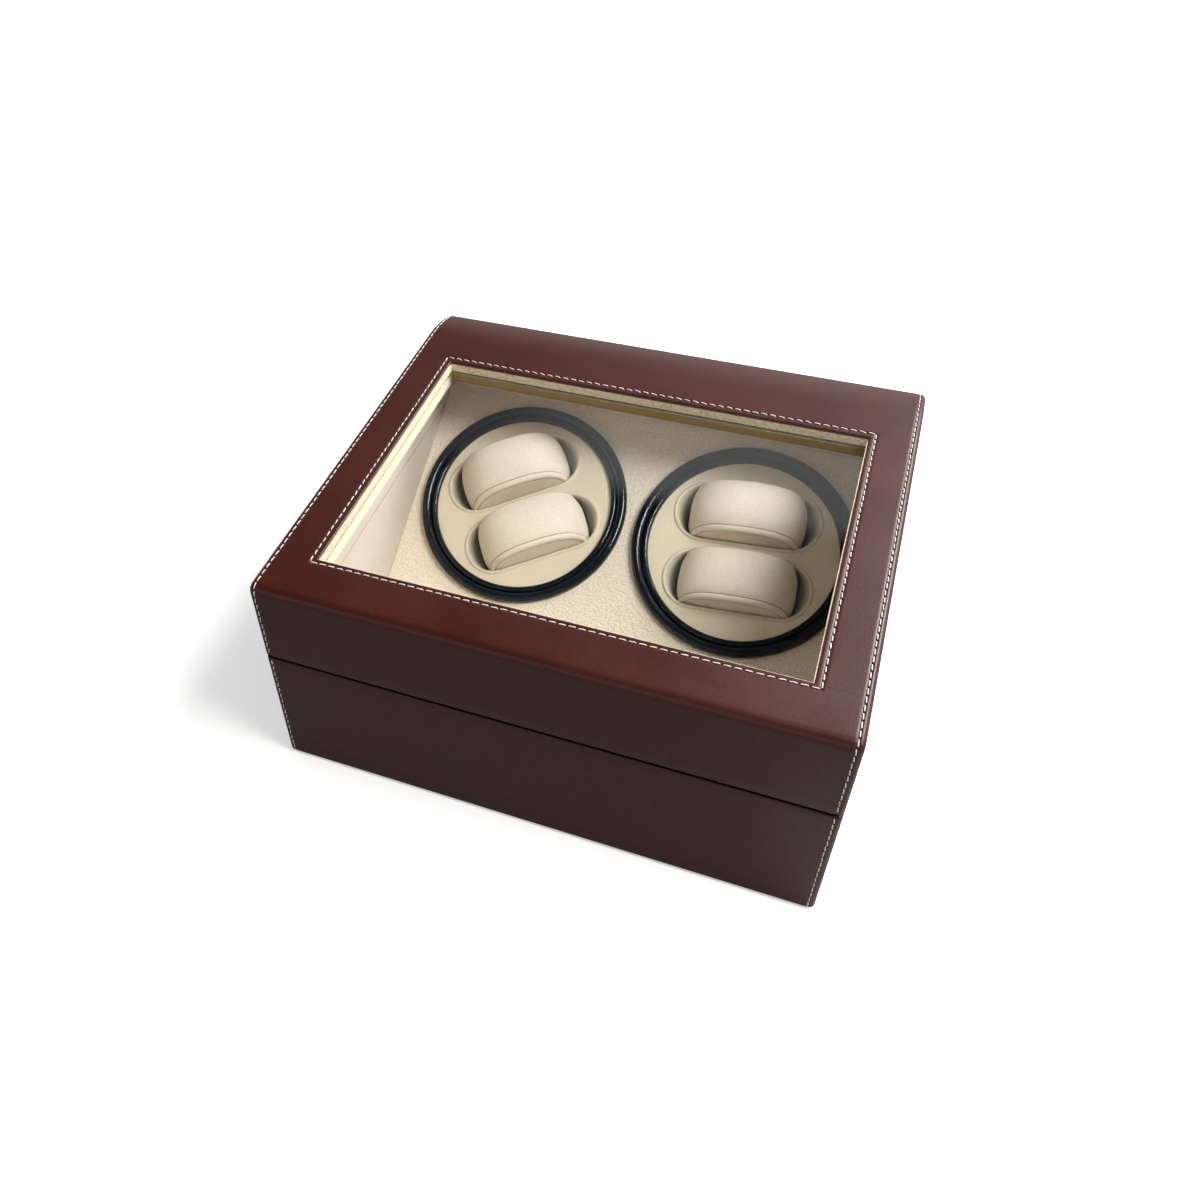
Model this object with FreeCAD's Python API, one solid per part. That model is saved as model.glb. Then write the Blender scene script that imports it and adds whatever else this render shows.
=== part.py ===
import FreeCAD, Part
import math
import os
from FreeCAD import Placement, Rotation, Vector

# Table-top watch winder: a leather-covered box whose hinged lid has a glass window, over two
# turntables on a sloping deck. Millimetres, +Z up, +X to the right seen from the front, +Y to
# the back. The origin is on the table, under the middle of the whole box with its hinges.

# Case walls: leather outside, board, cream lining inside
leather = 1.2
board = 7.0
lining = 0.8
edge_radius = 4.5
foot_height = 2.0
foot_radius = 7.5
foot_inset = 26.0
split_gap = 1.6
lid_height = 58.5
floor_board = 5.0
turn_under = 12.0
spare = 1.0

# Lid's top: its folds over the front and back edges, and its rear, which bends down to the hinges
fold_radius = 5.5
slope_run = 37.5
slope_radius = 85.0

# Window in the lid
frame_side = 28.0
frame_front = 33.0
frame_back = 67.5
top_board = 10.0
glass_thickness = 3.5
glass_overlap = 8.0
glass_play = 0.2
edging = 1.0
retainer = 6.0

# Deck and turntables; heights on the deck are measured square to its surface
tilt = 28.9
deck_board = 4.0
deck_skin = 1.2
deck_margin_top = 9.9
deck_margin_low = 8.0
deck_margin_side = 6.5
bezel_gap = 7.8
bezel_width = 6.6
bezel_height = 5.5
skirt_width = 1.4
skirt_depth = 0.8
hole_gap = 0.2
spin_gap = 0.5
rim_width = 4.0
rim_height = 4.0
disc_thickness = 2.0
disc_rise = 1.0
disc_margin = 4.9
disc_play = 0.1
lip_rise = 0.6
flange_thickness = 2.4
left_turn = 32.0
right_turn = 4.5

# Pockets and their cushions
pocket_length = 93.0
pocket_width = 38.0
pocket_depth = 32.5
pocket_corner = 12.5
pocket_wall = 1.5
pocket_web = 6.0
strap_gap = 9.0
cushion_side_gap = 0.75
cushion_soft_gap = 0.3
cushion_rise = 19.0
cushion_edge_drop = 2.5
cushion_waist = 8.0
cushion_end_roundness = 0.65
cushion_stations = (-1.0, -0.85, -0.5, 0.5, 0.85, 1.0)

# Spaces round the deck
side_gap = 0.3
ledge_gap = 15.0
ledge_board = 3.0
ledge_drop = 4.9
riser_board = 4.0
riser_height = 11.1
riser_inset = 1.5
apron_board = 4.0
well_length = 121.0
well_pad = 1.5
drum_floor_gap = 4.4
cleat_width = 9.0
cleat_depth = 12.0

# Drive: ring gear under each turntable, pinion, geared motor on a bracket
gear_module = 1.25
pinion_teeth = 14
gear_addendum = 0.8
pinion_addendum = 1.0
dedendum = 1.25
pressure_angle = 20.0
backlash = 0.12
gear_fit = 0.3
gear_wall = 1.0
gear_face = 6.0
gear_drop = 4.0
pinion_direction = 42.0
pinion_collar_radius = 5.0
pinion_collar = 1.2
spindle_radius = 2.0
bearing_play = 0.05
collar_gap = 0.4
bracket_plate = 2.0
bracket_half_width = 15.0
bracket_reach_out = 14.0
bracket_reach_in = 10.5
post_radius = 3.0
post_out = 10.0
post_spread = 11.0
motor_radius = 10.0
motor_length = 30.0
boss_radius = 3.2
spindle_depth = 6.0

# Leads from the controls to the motors and the inlet
lead_radius = 1.0
lead_run = 9.0
lead_dip = 6.0
lead_sag = 1.5
lead_bend_share = 0.45

# Turntable bearings
hub_radius = 8.0
hub_length = 8.0
hub_overlap = 3.0
shaft_radius = 3.0
shaft_in_hub = 8.0
thrust_gap = 0.3
bush_flange = 1.0
bush_flange_radius = 8.5
bush_radius = 6.0
bush_length = 10.0
shaft_tail = 2.0
stand_size = 36.0

# Hinges
hinge_spacing = 180.0
hinge_length = 50.0
knuckle_count = 5
knuckle_radius = 2.4
knuckle_gap = 0.2
hinge_offset = 2.6
pin_radius = 1.2
leaf = 0.7
leaf_depth = 8.6
screw_radius = 1.0
screw_head_radius = 1.9
screw_length = 9.0
screw_spread = 15.0

# Controls in a recess at the back
recess_width = 124.0
recess_height = 26.0
recess_rise = 12.5
plate_margin = 5.0
plate_thickness = 2.0
inlet_margin = 16.0
inlet_radius = 4.5
inlet_flange_radius = 6.0
inlet_flange = 1.2
inlet_depth = 11.0
socket_radius = 2.9
socket_depth = 9.0
contact_radius = 1.0
switch_pitch = 26.0
switch_width = 19.0
switch_tall = 13.0
switch_flange = 1.0
switch_lip = 1.5
switch_depth = 10.0
rocker_width = 15.8
rocker_tall = 10.2
rocker_thickness = 5.0
rocker_play = 0.4
rocker_tilt = 8.0
rocker_pin_radius = 1.0
rocker_pin_length = 0.8
rocker_rise = 0.5
rocker_dish = 1.5
knob_margin = 20.0
knob_pitch = 30.0
knob_radius = 7.0
knob_length = 5.8
knob_gap = 0.3
knob_chamfer = 0.6
knob_mark_width = 0.8
knob_mark_depth = 0.5
stem_radius = 3.0
stem_length = 5.0
mode_switch_size = 12.0
mode_switch_depth = 6.5
circuit_margin = 9.0
circuit_board = 1.6
circuit_height = 22.0
chip_height = 1.6
chip_size = 8.8

# Worked-out sizes of the turntable, from its pockets outwards
pocket_pitch = pocket_width + 2 * pocket_wall + pocket_web
cup_length = pocket_length + 2 * pocket_wall
cup_width = pocket_width + 2 * pocket_wall
cup_depth = pocket_depth + pocket_wall
cup_corner = pocket_corner + pocket_wall
cup_sweep = math.hypot((cup_length - cup_width) / 2, pocket_pitch / 2) + cup_width / 2
disc_radius = cup_sweep + disc_margin
rim_bore = disc_radius + disc_play
rim_radius = rim_bore + rim_width
bezel_bore = rim_radius + spin_gap
bezel_radius = bezel_bore + bezel_width
skirt_radius = bezel_bore + skirt_width
deck_thickness = deck_board + deck_skin
skirt_low = -deck_thickness - skirt_depth
flange_top = disc_rise - disc_thickness
flange_low = flange_top - flange_thickness

# Worked-out sizes of the case, from the deck outwards
sine = math.sin(math.radians(tilt))
cosine = math.cos(math.radians(tilt))
board_depth = leather + board
wall = board_depth + lining
centre_x = bezel_radius + bezel_gap / 2
half_width = centre_x + bezel_radius + deck_margin_side + wall
half_board = half_width - board_depth
half_inside = half_width - wall
deck_top_edge = bezel_radius + deck_margin_top
deck_low_edge = bezel_radius + deck_margin_low
case_depth = 2 * wall + well_length + apron_board + ledge_gap + (deck_top_edge + deck_low_edge) * cosine
hinge_reach = hinge_offset + knuckle_radius
front = -(case_depth + hinge_reach) / 2
back = front + case_depth
front_board = front + board_depth
back_board = back - board_depth
front_inside = front + wall
back_inside = back - wall
case_bottom = foot_height
floor_top = case_bottom + leather + floor_board
centre_y = back_inside - ledge_gap - deck_top_edge * cosine
drum_reach = (cup_sweep - cup_corner) * sine + (cup_depth - cup_corner) * cosine + cup_corner
centre_z = floor_top + drum_floor_gap + drum_reach
apron_back = centre_y - deck_low_edge * cosine
riser_back = centre_y + deck_top_edge * cosine - riser_inset
riser_front = riser_back - riser_board
ledge_top = centre_z + deck_top_edge * sine - deck_thickness * cosine - riser_height
base_top = ledge_top + ledge_drop
lid_bottom = base_top + split_gap
lid_top = lid_bottom + lid_height
ceiling = lid_top - leather - top_board
window_x = half_width - frame_side
window_front = front + frame_front
window_back = back - frame_back

# Worked-out sizes of the drive
gear_bore = cup_sweep + gear_fit
gear_teeth = math.ceil(2 * (gear_bore + gear_wall) / gear_module + 2 * dedendum)
gear_pitch_radius = gear_module * gear_teeth / 2
pinion_pitch_radius = gear_module * pinion_teeth / 2
drive_distance = gear_pitch_radius + pinion_pitch_radius
gear_high = flange_low - gear_drop
gear_low = gear_high - gear_face
plate_top = gear_low - pinion_collar - collar_gap
plate_low = plate_top - bracket_plate
hub_low = -cup_depth - hub_length
bush_top = hub_low - thrust_gap
bush_seat = bush_top - bush_flange
bush_low = bush_seat - bush_length
far = 1000.0

# Worked-out places of the controls
inlet_x = inlet_margin - recess_width / 2
switch_x = inlet_x + switch_pitch
knob_last_x = recess_width / 2 - knob_margin
knob_first_x = knob_last_x - knob_pitch
controls_height = case_bottom + recess_rise + recess_height / 2


def block(low, high):
    size = [b - a for a, b in zip(low, high)]
    return Part.makeBox(*size, Vector(*low))


def rod(radius, low, high, x=0.0, y=0.0):
    return Part.makeCylinder(radius, high - low, Vector(x, y, low))


def tube(outer, inner, low, high):
    return rod(outer, low, high).cut(rod(inner, low, high))


def rod_to_back(radius, y_low, y_high, x, z):
    return Part.makeCylinder(radius, y_high - y_low, Vector(x, y_low, z), Vector(0, 1, 0))


def upright_edges(shape):
    chosen = []
    for edge in shape.Edges:
        ends = [vertex.Point for vertex in edge.Vertexes]
        if len(ends) == 2 and math.hypot(ends[0].x - ends[1].x, ends[0].y - ends[1].y) < 1e-6:
            chosen.append(edge)
    return chosen


def edges_at(shape, z):
    flat = [edge for edge in shape.Edges if edge.BoundBox.ZLength < 1e-6]
    return [edge for edge in flat if abs(edge.BoundBox.ZMin - z) < 1e-6]


def stadium(length, width, low, high, y=0.0):
    """A round-ended slot, lying along X, as a solid from one height to another."""
    half = (length - width) / 2
    reach = width / 2
    corners = [Vector(-half, y - reach, low), Vector(half, y - reach, low),
               Vector(half, y + reach, low), Vector(-half, y + reach, low)]
    outline = Part.Wire([
        Part.LineSegment(corners[0], corners[1]).toShape(),
        Part.Arc(corners[1], Vector(half + reach, y, low), corners[2]).toShape(),
        Part.LineSegment(corners[2], corners[3]).toShape(),
        Part.Arc(corners[3], Vector(-half - reach, y, low), corners[0]).toShape()])
    return Part.Face(outline).extrude(Vector(0, 0, high - low))


def cup(length, width, depth, corner, high, y):
    """A slot closed below, with a rounded bottom edge."""
    solid = stadium(length, width, -depth, high, y)
    return solid.makeFillet(corner, edges_at(solid, -depth))


def turned(edges):
    """A ring made by turning a closed outline in the XZ plane round the Z axis."""
    return Part.Face(Part.Wire(edges)).revolve(Vector(0, 0, 0), Vector(0, 0, 1), 360)


def line(start, end):
    return Part.LineSegment(Vector(start[0], 0, start[1]), Vector(end[0], 0, end[1])).toShape()


def arc(start, middle, end):
    points = [Vector(point[0], 0, point[1]) for point in (start, middle, end)]
    return Part.Arc(*points).toShape()


def round_topped_ring(bore, outer, low, high, seat=None):
    """A ring with a rounded upper side; a seat gives it a thinner skirt below that height."""
    middle = (bore + outer) / 2
    shoulder = high - (outer - bore) / 2
    spread = (outer - bore) / 2 * math.sqrt(0.5)
    edges = [line((bore, low), (bore, shoulder)),
             arc((bore, shoulder), (middle - spread, shoulder + spread), (middle, high)),
             arc((middle, high), (middle + spread, shoulder + spread), (outer, shoulder))]
    if seat is None:
        edges += [line((outer, shoulder), (outer, low)), line((outer, low), (bore, low))]
    else:
        edges += [line((outer, shoulder), (outer, seat)), line((outer, seat), (skirt_radius, seat)),
                  line((skirt_radius, seat), (skirt_radius, low)), line((skirt_radius, low), (bore, low))]
    return turned(edges)


def on_deck(shape, side, turn=0.0):
    """Put a piece drawn round the turntable's axis in its place; side is -1 left or 1 right."""
    placed = shape.copy()
    spin = Rotation(Vector(0, 0, 1), turn)
    lean = Rotation(Vector(1, 0, 0), tilt)
    seat = Placement(Vector(side * centre_x, centre_y, centre_z), lean.multiply(spin))
    placed.Placement = seat.multiply(shape.Placement)
    return placed


def deck_slab(x_low, x_high, along_low, along_high, low, high):
    """A block in the deck's own directions: across, up the slope, and square to the deck."""
    slab = block((x_low, along_low, low), (x_high, along_high, high))
    return on_deck(slab.translate(Vector(-centre_x, 0, 0)), 1)


def save(node, *solids):
    shape = solids[0] if len(solids) == 1 else Part.makeCompound(list(solids))
    shape.exportStep("parts/" + node + ".step")
    print(node, len(shape.Solids), "solids", round(shape.Volume / 1000, 2), "cm3")


# Base of the case

def base_block(inset):
    """The base's outside, or the same drawn in all round by the leather's thickness."""
    solid = block((-half_width + inset, front + inset, case_bottom + inset),
                  (half_width - inset, back - inset, base_top - inset))
    return solid.makeFillet(edge_radius - inset, upright_edges(solid))


def recess_cut():
    """The hole through the back wall in front of the control plate."""
    return block((-recess_width / 2, back_board - spare, controls_height - recess_height / 2),
                 (recess_width / 2, back + spare, controls_height + recess_height / 2))


def hinge_x(side):
    return side * hinge_spacing / 2


def screw_places(side):
    return [hinge_x(side) + offset for offset in (-screw_spread, screw_spread)]


def screw_y():
    return back - leather - board / 2


def screw_shanks(low, high):
    return [rod(screw_radius, low, high, x, screw_y()) for side in (-1, 1) for x in screw_places(side)]


def make_base():
    core = base_block(leather)
    top = base_top - leather
    hollow = block((-half_board, front_board, -far), (half_board, back_board, far))
    shanks = Part.makeCompound(screw_shanks(base_top - screw_length, base_top))
    ends = {"base_left_panel": (-half_width, -half_board), "base_right_panel": (half_board, half_width)}
    for node, (x_low, x_high) in ends.items():
        save(node, core.common(block((x_low, front, 0), (x_high, back, top))))
    save("base_front_panel", core.common(block((-half_board, front, 0), (half_board, front_board, top))))
    rear = core.common(block((-half_board, back_board, 0), (half_board, back, top)))
    save("base_back_panel", rear.cut(recess_cut()).cut(shanks))
    save("base_floor", block((-half_board, front_board, case_bottom + leather),
                             (half_board, back_board, floor_top)))

    outside = base_block(0)
    outside = outside.makeFillet(leather, edges_at(outside, base_top))
    under = block((-half_width + turn_under, front + turn_under, case_bottom - spare),
                  (half_width - turn_under, back - turn_under, case_bottom + leather))
    wrap = outside.cut(core).cut(hollow.common(block((-far, -far, case_bottom + leather), (far, far, far))))
    save("base_wrap", wrap.cut(under).cut(recess_cut()).cut(shanks))
    save("underside_felt", block((-half_width + turn_under, front + turn_under, case_bottom),
                                 (half_width - turn_under, back - turn_under, case_bottom + leather)))
    foot_x = half_width - foot_inset
    feet = [rod(foot_radius, 0, foot_height, x, y)
            for x in (-foot_x, foot_x) for y in (front + foot_inset, back - foot_inset)]
    save("feet", *feet)


def make_base_inside():
    ring = block((-half_board, front_board, floor_top), (half_board, back_board, base_top))
    ring = ring.cut(block((-half_inside, front_inside, 0), (half_inside, back_inside, far)))
    ring = ring.cut(block((-half_inside, back_inside - spare, 0), (half_inside, back, ledge_top)))
    ring = ring.cut(block((-half_board, back_inside, 0), (half_board, back, ledge_top)))
    pad = block((-half_inside, front_inside, floor_top),
                (half_inside, apron_back - apron_board, floor_top + well_pad))
    save("base_lining", ring.fuse(pad).removeSplitter())
    apron_top = centre_z - deck_low_edge * sine
    save("deck_apron", block((-half_inside, apron_back - apron_board, floor_top),
                             (half_inside, apron_back, apron_top)))


def make_deck():
    half_deck = half_inside - side_gap
    long_low = -deck_low_edge - deck_thickness
    behind_apron = block((-far, apron_back, -far), (far, far, far))
    holes = [on_deck(rod(skirt_radius + hole_gap, -far, far), side) for side in (-1, 1)]
    panel_end = deck_top_edge - deck_skin
    panel = deck_slab(-half_deck, half_deck, long_low, panel_end, -deck_thickness, -deck_skin)
    skin = deck_slab(-half_deck, half_deck, long_low, deck_top_edge, -deck_thickness, 0)
    skin = skin.cut(deck_slab(-far, far, -far, panel_end, -far, -deck_skin))
    for node, shape in (("deck_board", panel), ("deck_skin", skin)):
        save(node, shape.common(behind_apron).cut(Part.makeCompound(holes)))

    cleats = []
    for side in (-1, 1):
        inner = half_inside - cleat_width
        x_low, x_high = sorted((side * inner, side * half_inside))
        rail = deck_slab(x_low, x_high, -deck_low_edge, deck_top_edge,
                         -deck_thickness - cleat_depth, -deck_thickness)
        cleats.append(rail.common(block((-far, apron_back, -far), (far, riser_front, far))))
    save("deck_cleats", *cleats)

    shelf_low = ledge_top - ledge_board
    riser = block((-half_inside, riser_front, shelf_low), (half_inside, riser_back, lid_top))
    riser = riser.cut(deck_slab(-far, far, -far, far, -deck_thickness, far))
    shelf = block((-half_inside, riser_back, shelf_low), (half_inside, back_board, ledge_top))
    save("back_ledge", riser.fuse(shelf).removeSplitter())


# Lid of the case

def lid_block(inset):
    """The lid's outside, or the same drawn in all round by the leather's thickness."""
    low = lid_bottom + inset
    fold = fold_radius - inset
    reach = slope_radius - inset
    diagonal = math.sqrt(0.5)
    bend = back - slope_run
    front_fold = front + fold_radius
    back_fold = back - fold_radius
    bend_centre = lid_top - slope_radius
    fold_high = lid_top - fold_radius
    fold_low = bend_centre + math.sqrt((slope_radius - fold_radius) ** 2 - (back_fold - bend) ** 2)
    lean = math.atan2(back_fold - bend, fold_low - bend_centre)
    turn = (lean + math.pi / 2) / 2

    def point(y, z):
        return Vector(inset - half_width, y, z)

    def on_slope(angle):
        return point(bend + reach * math.sin(angle), bend_centre + reach * math.cos(angle))

    corners = [point(front + inset, low), point(front + inset, fold_high),
               point(front_fold, lid_top - inset), on_slope(0), on_slope(lean),
               point(back - inset, fold_low), point(back - inset, low)]
    front_middle = point(front_fold - fold * diagonal, fold_high + fold * diagonal)
    back_middle = point(back_fold + fold * math.sin(turn), fold_low + fold * math.cos(turn))
    outline = Part.Wire([
        Part.LineSegment(corners[0], corners[1]).toShape(),
        Part.Arc(corners[1], front_middle, corners[2]).toShape(),
        Part.LineSegment(corners[2], corners[3]).toShape(),
        Part.Arc(corners[3], on_slope(lean / 2), corners[4]).toShape(),
        Part.Arc(corners[4], back_middle, corners[5]).toShape(),
        Part.LineSegment(corners[5], corners[6]).toShape(),
        Part.LineSegment(corners[6], corners[0]).toShape()])
    solid = Part.Face(outline).extrude(Vector(2 * (half_width - inset), 0, 0))
    across = [edge for edge in solid.Edges if edge.BoundBox.XLength < 1e-6]
    sides = [edge for edge in across if edge.BoundBox.ZMax > low + 1e-6]
    return solid.makeFillet(edge_radius - inset, sides)


def window_cut(margin, low, high):
    return block((-window_x - margin, window_front - margin, low),
                 (window_x + margin, window_back + margin, high))


def make_lid():
    core = lid_block(leather)
    shanks = Part.makeCompound(screw_shanks(lid_bottom, lid_bottom + screw_length))
    ends = {"lid_left_panel": (-half_width, -half_board), "lid_right_panel": (half_board, half_width)}
    for node, (x_low, x_high) in ends.items():
        save(node, core.common(block((x_low, front, lid_bottom), (x_high, back, ceiling))))
    front_panel = core.common(block((-half_board, front, lid_bottom), (half_board, front_board, ceiling)))
    save("lid_front_panel", front_panel)
    rear = core.common(block((-half_board, back_board, lid_bottom), (half_board, back, ceiling)))
    save("lid_back_panel", rear.cut(shanks))
    rebate = window_cut(glass_overlap, 0, ceiling + glass_thickness + glass_play)
    top_panel = core.common(block((-far, -far, ceiling), (far, far, far)))
    save("lid_top_panel", top_panel.cut(window_cut(edging, 0, far)).cut(rebate))

    outside = lid_block(0)
    outside = outside.makeFillet(leather, edges_at(outside, lid_bottom))
    mouth = block((-half_board, front_board, 0), (half_board, back_board, lid_bottom + leather))
    wrap = outside.cut(core).cut(mouth).cut(window_cut(0, lid_bottom, far))
    save("lid_wrap", wrap.cut(shanks))

    ring = block((-half_board, front_board, lid_bottom), (half_board, back_board, ceiling))
    save("lid_lining", ring.cut(block((-half_inside, front_inside, 0), (half_inside, back_inside, far))))

    glass_top = ceiling + glass_thickness + glass_play
    strip = window_cut(edging, glass_top, lid_top - leather)
    save("window_edging", strip.cut(window_cut(0, 0, far)))
    save("glass_pane", window_cut(glass_overlap - glass_play, ceiling, ceiling + glass_thickness))
    frame = block((-half_inside + side_gap, front_inside + side_gap, ceiling - retainer),
                  (half_inside - side_gap, back_inside - side_gap, ceiling))
    save("glass_frame", frame.cut(window_cut(0, 0, far)))


# Hinges

def knuckles(side, first, bore, low, high):
    """Every second knuckle of one hinge, joined to its flat leaf."""
    axis_y = back + hinge_offset
    axis_z = (base_top + lid_bottom) / 2
    pitch = hinge_length / knuckle_count
    left = hinge_x(side) - hinge_length / 2
    leaf_front = screw_y() - leaf_depth / 2
    clear = knuckle_radius + knuckle_gap
    shape = block((left, leaf_front, low), (left + hinge_length, axis_y, high))
    own = []
    for index in range(knuckle_count):
        start = left + index * pitch
        if index % 2 == first:
            own.append(Part.makeCylinder(knuckle_radius, pitch - knuckle_gap,
                                         Vector(start + knuckle_gap / 2, axis_y, axis_z), Vector(1, 0, 0)))
        else:
            shape = shape.cut(block((start - knuckle_gap / 2, axis_y - clear, -far),
                                    (start + pitch + knuckle_gap / 2, far, far)))
    for barrel in own:
        shape = shape.fuse(barrel)
    return shape.cut(Part.makeCylinder(bore, far, Vector(-far / 2, axis_y, axis_z), Vector(1, 0, 0)))


def screw(x, face, down):
    """A countersunk screw whose head is flush with a leaf's outer face."""
    head = Part.makeCone(screw_head_radius, screw_radius, leaf, Vector(0, 0, 0), Vector(0, 0, -1))
    solid = head.fuse(Part.makeCylinder(screw_radius, screw_length, Vector(0, 0, 0), Vector(0, 0, -1)))
    if not down:
        solid.rotate(Vector(0, 0, 0), Vector(1, 0, 0), 180)
    return solid.translate(Vector(x, screw_y(), face))


def make_hinges():
    base_face = base_top + leaf
    lid_face = lid_bottom - leaf
    base_leaves = []
    lid_leaves = []
    pins = []
    base_screws = []
    lid_screws = []
    axis_z = (base_top + lid_bottom) / 2
    for side in (-1, 1):
        below = [screw(x, base_face, True) for x in screw_places(side)]
        above = [screw(x, lid_face, False) for x in screw_places(side)]
        lower = knuckles(side, 0, pin_radius, base_top, base_face)
        upper = knuckles(side, 1, pin_radius + bearing_play, lid_face, lid_bottom)
        base_leaves.append(lower.cut(Part.makeCompound(below)))
        lid_leaves.append(upper.cut(Part.makeCompound(above)))
        base_screws += below
        lid_screws += above
        start = Vector(hinge_x(side) - hinge_length / 2, back + hinge_offset, axis_z)
        pins.append(Part.makeCylinder(pin_radius, hinge_length, start, Vector(1, 0, 0)))
    save("hinge_base_leaves", *base_leaves)
    save("hinge_lid_leaves", *lid_leaves)
    save("hinge_pins", *pins)
    save("hinge_base_screws", *base_screws)
    save("hinge_lid_screws", *lid_screws)


# Turntables

def pockets(make):
    """The same solid for the upper and the lower pocket, joined."""
    return Part.makeCompound([make(pocket_pitch / 2), make(-pocket_pitch / 2)])


def make_disc():
    disc = rod(disc_radius, flange_top, disc_rise)
    lips = pockets(lambda y: stadium(cup_length, cup_width, flange_top, disc_rise + lip_rise, y))
    holes = pockets(lambda y: stadium(pocket_length, pocket_width, -far, far, y))
    return disc.fuse(lips.Solids).cut(holes).removeSplitter()


def make_drum():
    """The turning plate with its web and hub, and under it two pocket cups, each its own moulding."""
    outsides = pockets(lambda y: cup(cup_length, cup_width, cup_depth, cup_corner, flange_low, y)).Solids
    hollows = pockets(lambda y: cup(pocket_length, pocket_width, pocket_depth, pocket_corner, disc_rise, y))
    web_half = (cup_length - cup_width) / 2
    web = block((-web_half, -pocket_web, -cup_depth), (web_half, pocket_web, flange_low))
    hub = rod(hub_radius, hub_low, hub_overlap - cup_depth)
    plate = rod(rim_radius, flange_low, flange_top).fuse([web, hub]).cut(outsides).cut(hollows)
    plate = plate.cut(rod(shaft_radius, -far, hub_low + shaft_in_hub)).removeSplitter()
    return Part.makeCompound([plate] + [outside.cut(hollows) for outside in outsides])


def involute(angle):
    return math.tan(angle) - angle


def gear_face_outline(teeth, addendum, low):
    """A spur gear's outline: involute flanks in two chords above the base circle, radial below."""
    angle = math.radians(pressure_angle)
    pitch = gear_module * teeth / 2
    base = pitch * math.cos(angle)
    root = pitch - dedendum * gear_module
    tip = pitch + addendum * gear_module
    half_at_pitch = math.pi / (2 * teeth) - backlash / (2 * pitch)
    start = max(base, root)
    radii = [root] if root < start else []
    radii += [start, (start + tip) / 2, tip]
    flank = []
    for radius in radii:
        here = math.acos(min(1.0, base / max(radius, base)))
        flank.append((radius, half_at_pitch + involute(angle) - involute(here)))
    points = []
    for tooth in range(teeth):
        middle = 2 * math.pi * tooth / teeth
        for radius, half in flank:
            points.append(Vector(radius * math.cos(middle - half), radius * math.sin(middle - half), low))
        for radius, half in reversed(flank):
            points.append(Vector(radius * math.cos(middle + half), radius * math.sin(middle + half), low))
    return Part.Face(Part.makePolygon(points + points[:1]))


def drive_angle(side):
    """Direction from a turntable's axis to its pinion, in the deck's plane."""
    return pinion_direction if side < 0 else 180.0 - pinion_direction


def make_ring_gear(side):
    teeth = gear_face_outline(gear_teeth, gear_addendum, gear_low).extrude(Vector(0, 0, gear_face))
    collar = rod(gear_pitch_radius - dedendum * gear_module, gear_low, flange_low)
    gear = teeth.fuse(collar).cut(rod(gear_bore, -far, far))
    return on_deck(gear, side, drive_angle(side))


def beside_ring(shape, side, turn=0.0):
    """Put a piece drawn round the pinion's axis in its place, its +X away from the ring."""
    placed = shape.copy()
    placed.rotate(Vector(0, 0, 0), Vector(0, 0, 1), turn)
    placed.translate(Vector(drive_distance, 0, 0))
    placed.rotate(Vector(0, 0, 0), Vector(0, 0, 1), drive_angle(side))
    return on_deck(placed, side).Solids


def make_pinion(side):
    outline = gear_face_outline(pinion_teeth, pinion_addendum, gear_low)
    body = outline.extrude(Vector(0, 0, gear_face))
    body = body.fuse(rod(pinion_collar_radius, gear_low - pinion_collar, gear_low))
    body = body.cut(rod(spindle_radius, -far, far))
    half_tooth = 180.0 / pinion_teeth if pinion_teeth % 2 == 0 else 0.0
    spindle = rod(spindle_radius, plate_low - spindle_depth, gear_high)
    return beside_ring(body, side, half_tooth) + beside_ring(spindle, side)


def make_motor(side):
    body = rod(motor_radius, plate_low - motor_length, plate_low)
    body = body.fuse(rod(boss_radius, plate_low, plate_top))
    body = body.cut(rod(spindle_radius + bearing_play, plate_low - spindle_depth - thrust_gap, plate_top))
    return beside_ring(body, side)


def make_bracket(side):
    plate = block((-bracket_reach_in, -bracket_half_width, plate_low),
                  (bracket_reach_out, bracket_half_width, plate_top))
    for spread in (-post_spread, post_spread):
        plate = plate.fuse(rod(post_radius, plate_low, -deck_thickness, post_out, spread))
    plate = plate.cut(rod(boss_radius, -far, far))
    clear = rod(cup_sweep + 2 * gear_fit, -far, far, -drive_distance, 0)
    return beside_ring(plate.cut(clear), side)


def make_stand(side):
    """A wedge on the case's floor that carries the bush square to the deck."""
    foot_y = centre_y - bush_seat * sine
    wedge = block((side * centre_x - stand_size / 2, foot_y - stand_size / 2, floor_top),
                  (side * centre_x + stand_size / 2, foot_y + stand_size / 2, centre_z))
    wedge = wedge.cut(deck_slab(-far, far, -far, far, bush_seat, far))
    wedge = wedge.cut(on_deck(rod(bush_radius, bush_low, far), side))
    return wedge.cut(on_deck(rod(shaft_radius + thrust_gap, bush_low - shaft_tail - thrust_gap, far), side))


def half_oval(reach, waist, crown, across):
    """Three arcs, each running into the next, from one end of an oval over its crown to the other."""
    rise = abs(crown - waist)
    way = 1 if crown > waist else -1
    end_radius = cushion_end_roundness * rise
    main_radius = (reach ** 2 + rise ** 2 - 2 * reach * end_radius) / (2 * (rise - end_radius))
    lean = math.atan2(reach - end_radius, main_radius - rise)

    def point(x, height):
        return Vector(x, across, waist + way * height)

    def on_end(side, angle):
        x = reach - end_radius + end_radius * math.sin(angle)
        return point(side * x, end_radius * math.cos(angle))

    middle = (lean + math.pi / 2) / 2
    first = Part.Arc(point(way * reach, 0), on_end(way, middle), on_end(way, lean))
    crown_arc = Part.Arc(on_end(way, lean), point(0, rise), on_end(-way, lean))
    last = Part.Arc(on_end(-way, lean), on_end(-way, middle), point(-way * reach, 0))
    return [first.toShape(), crown_arc.toShape(), last.toShape()]


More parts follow.
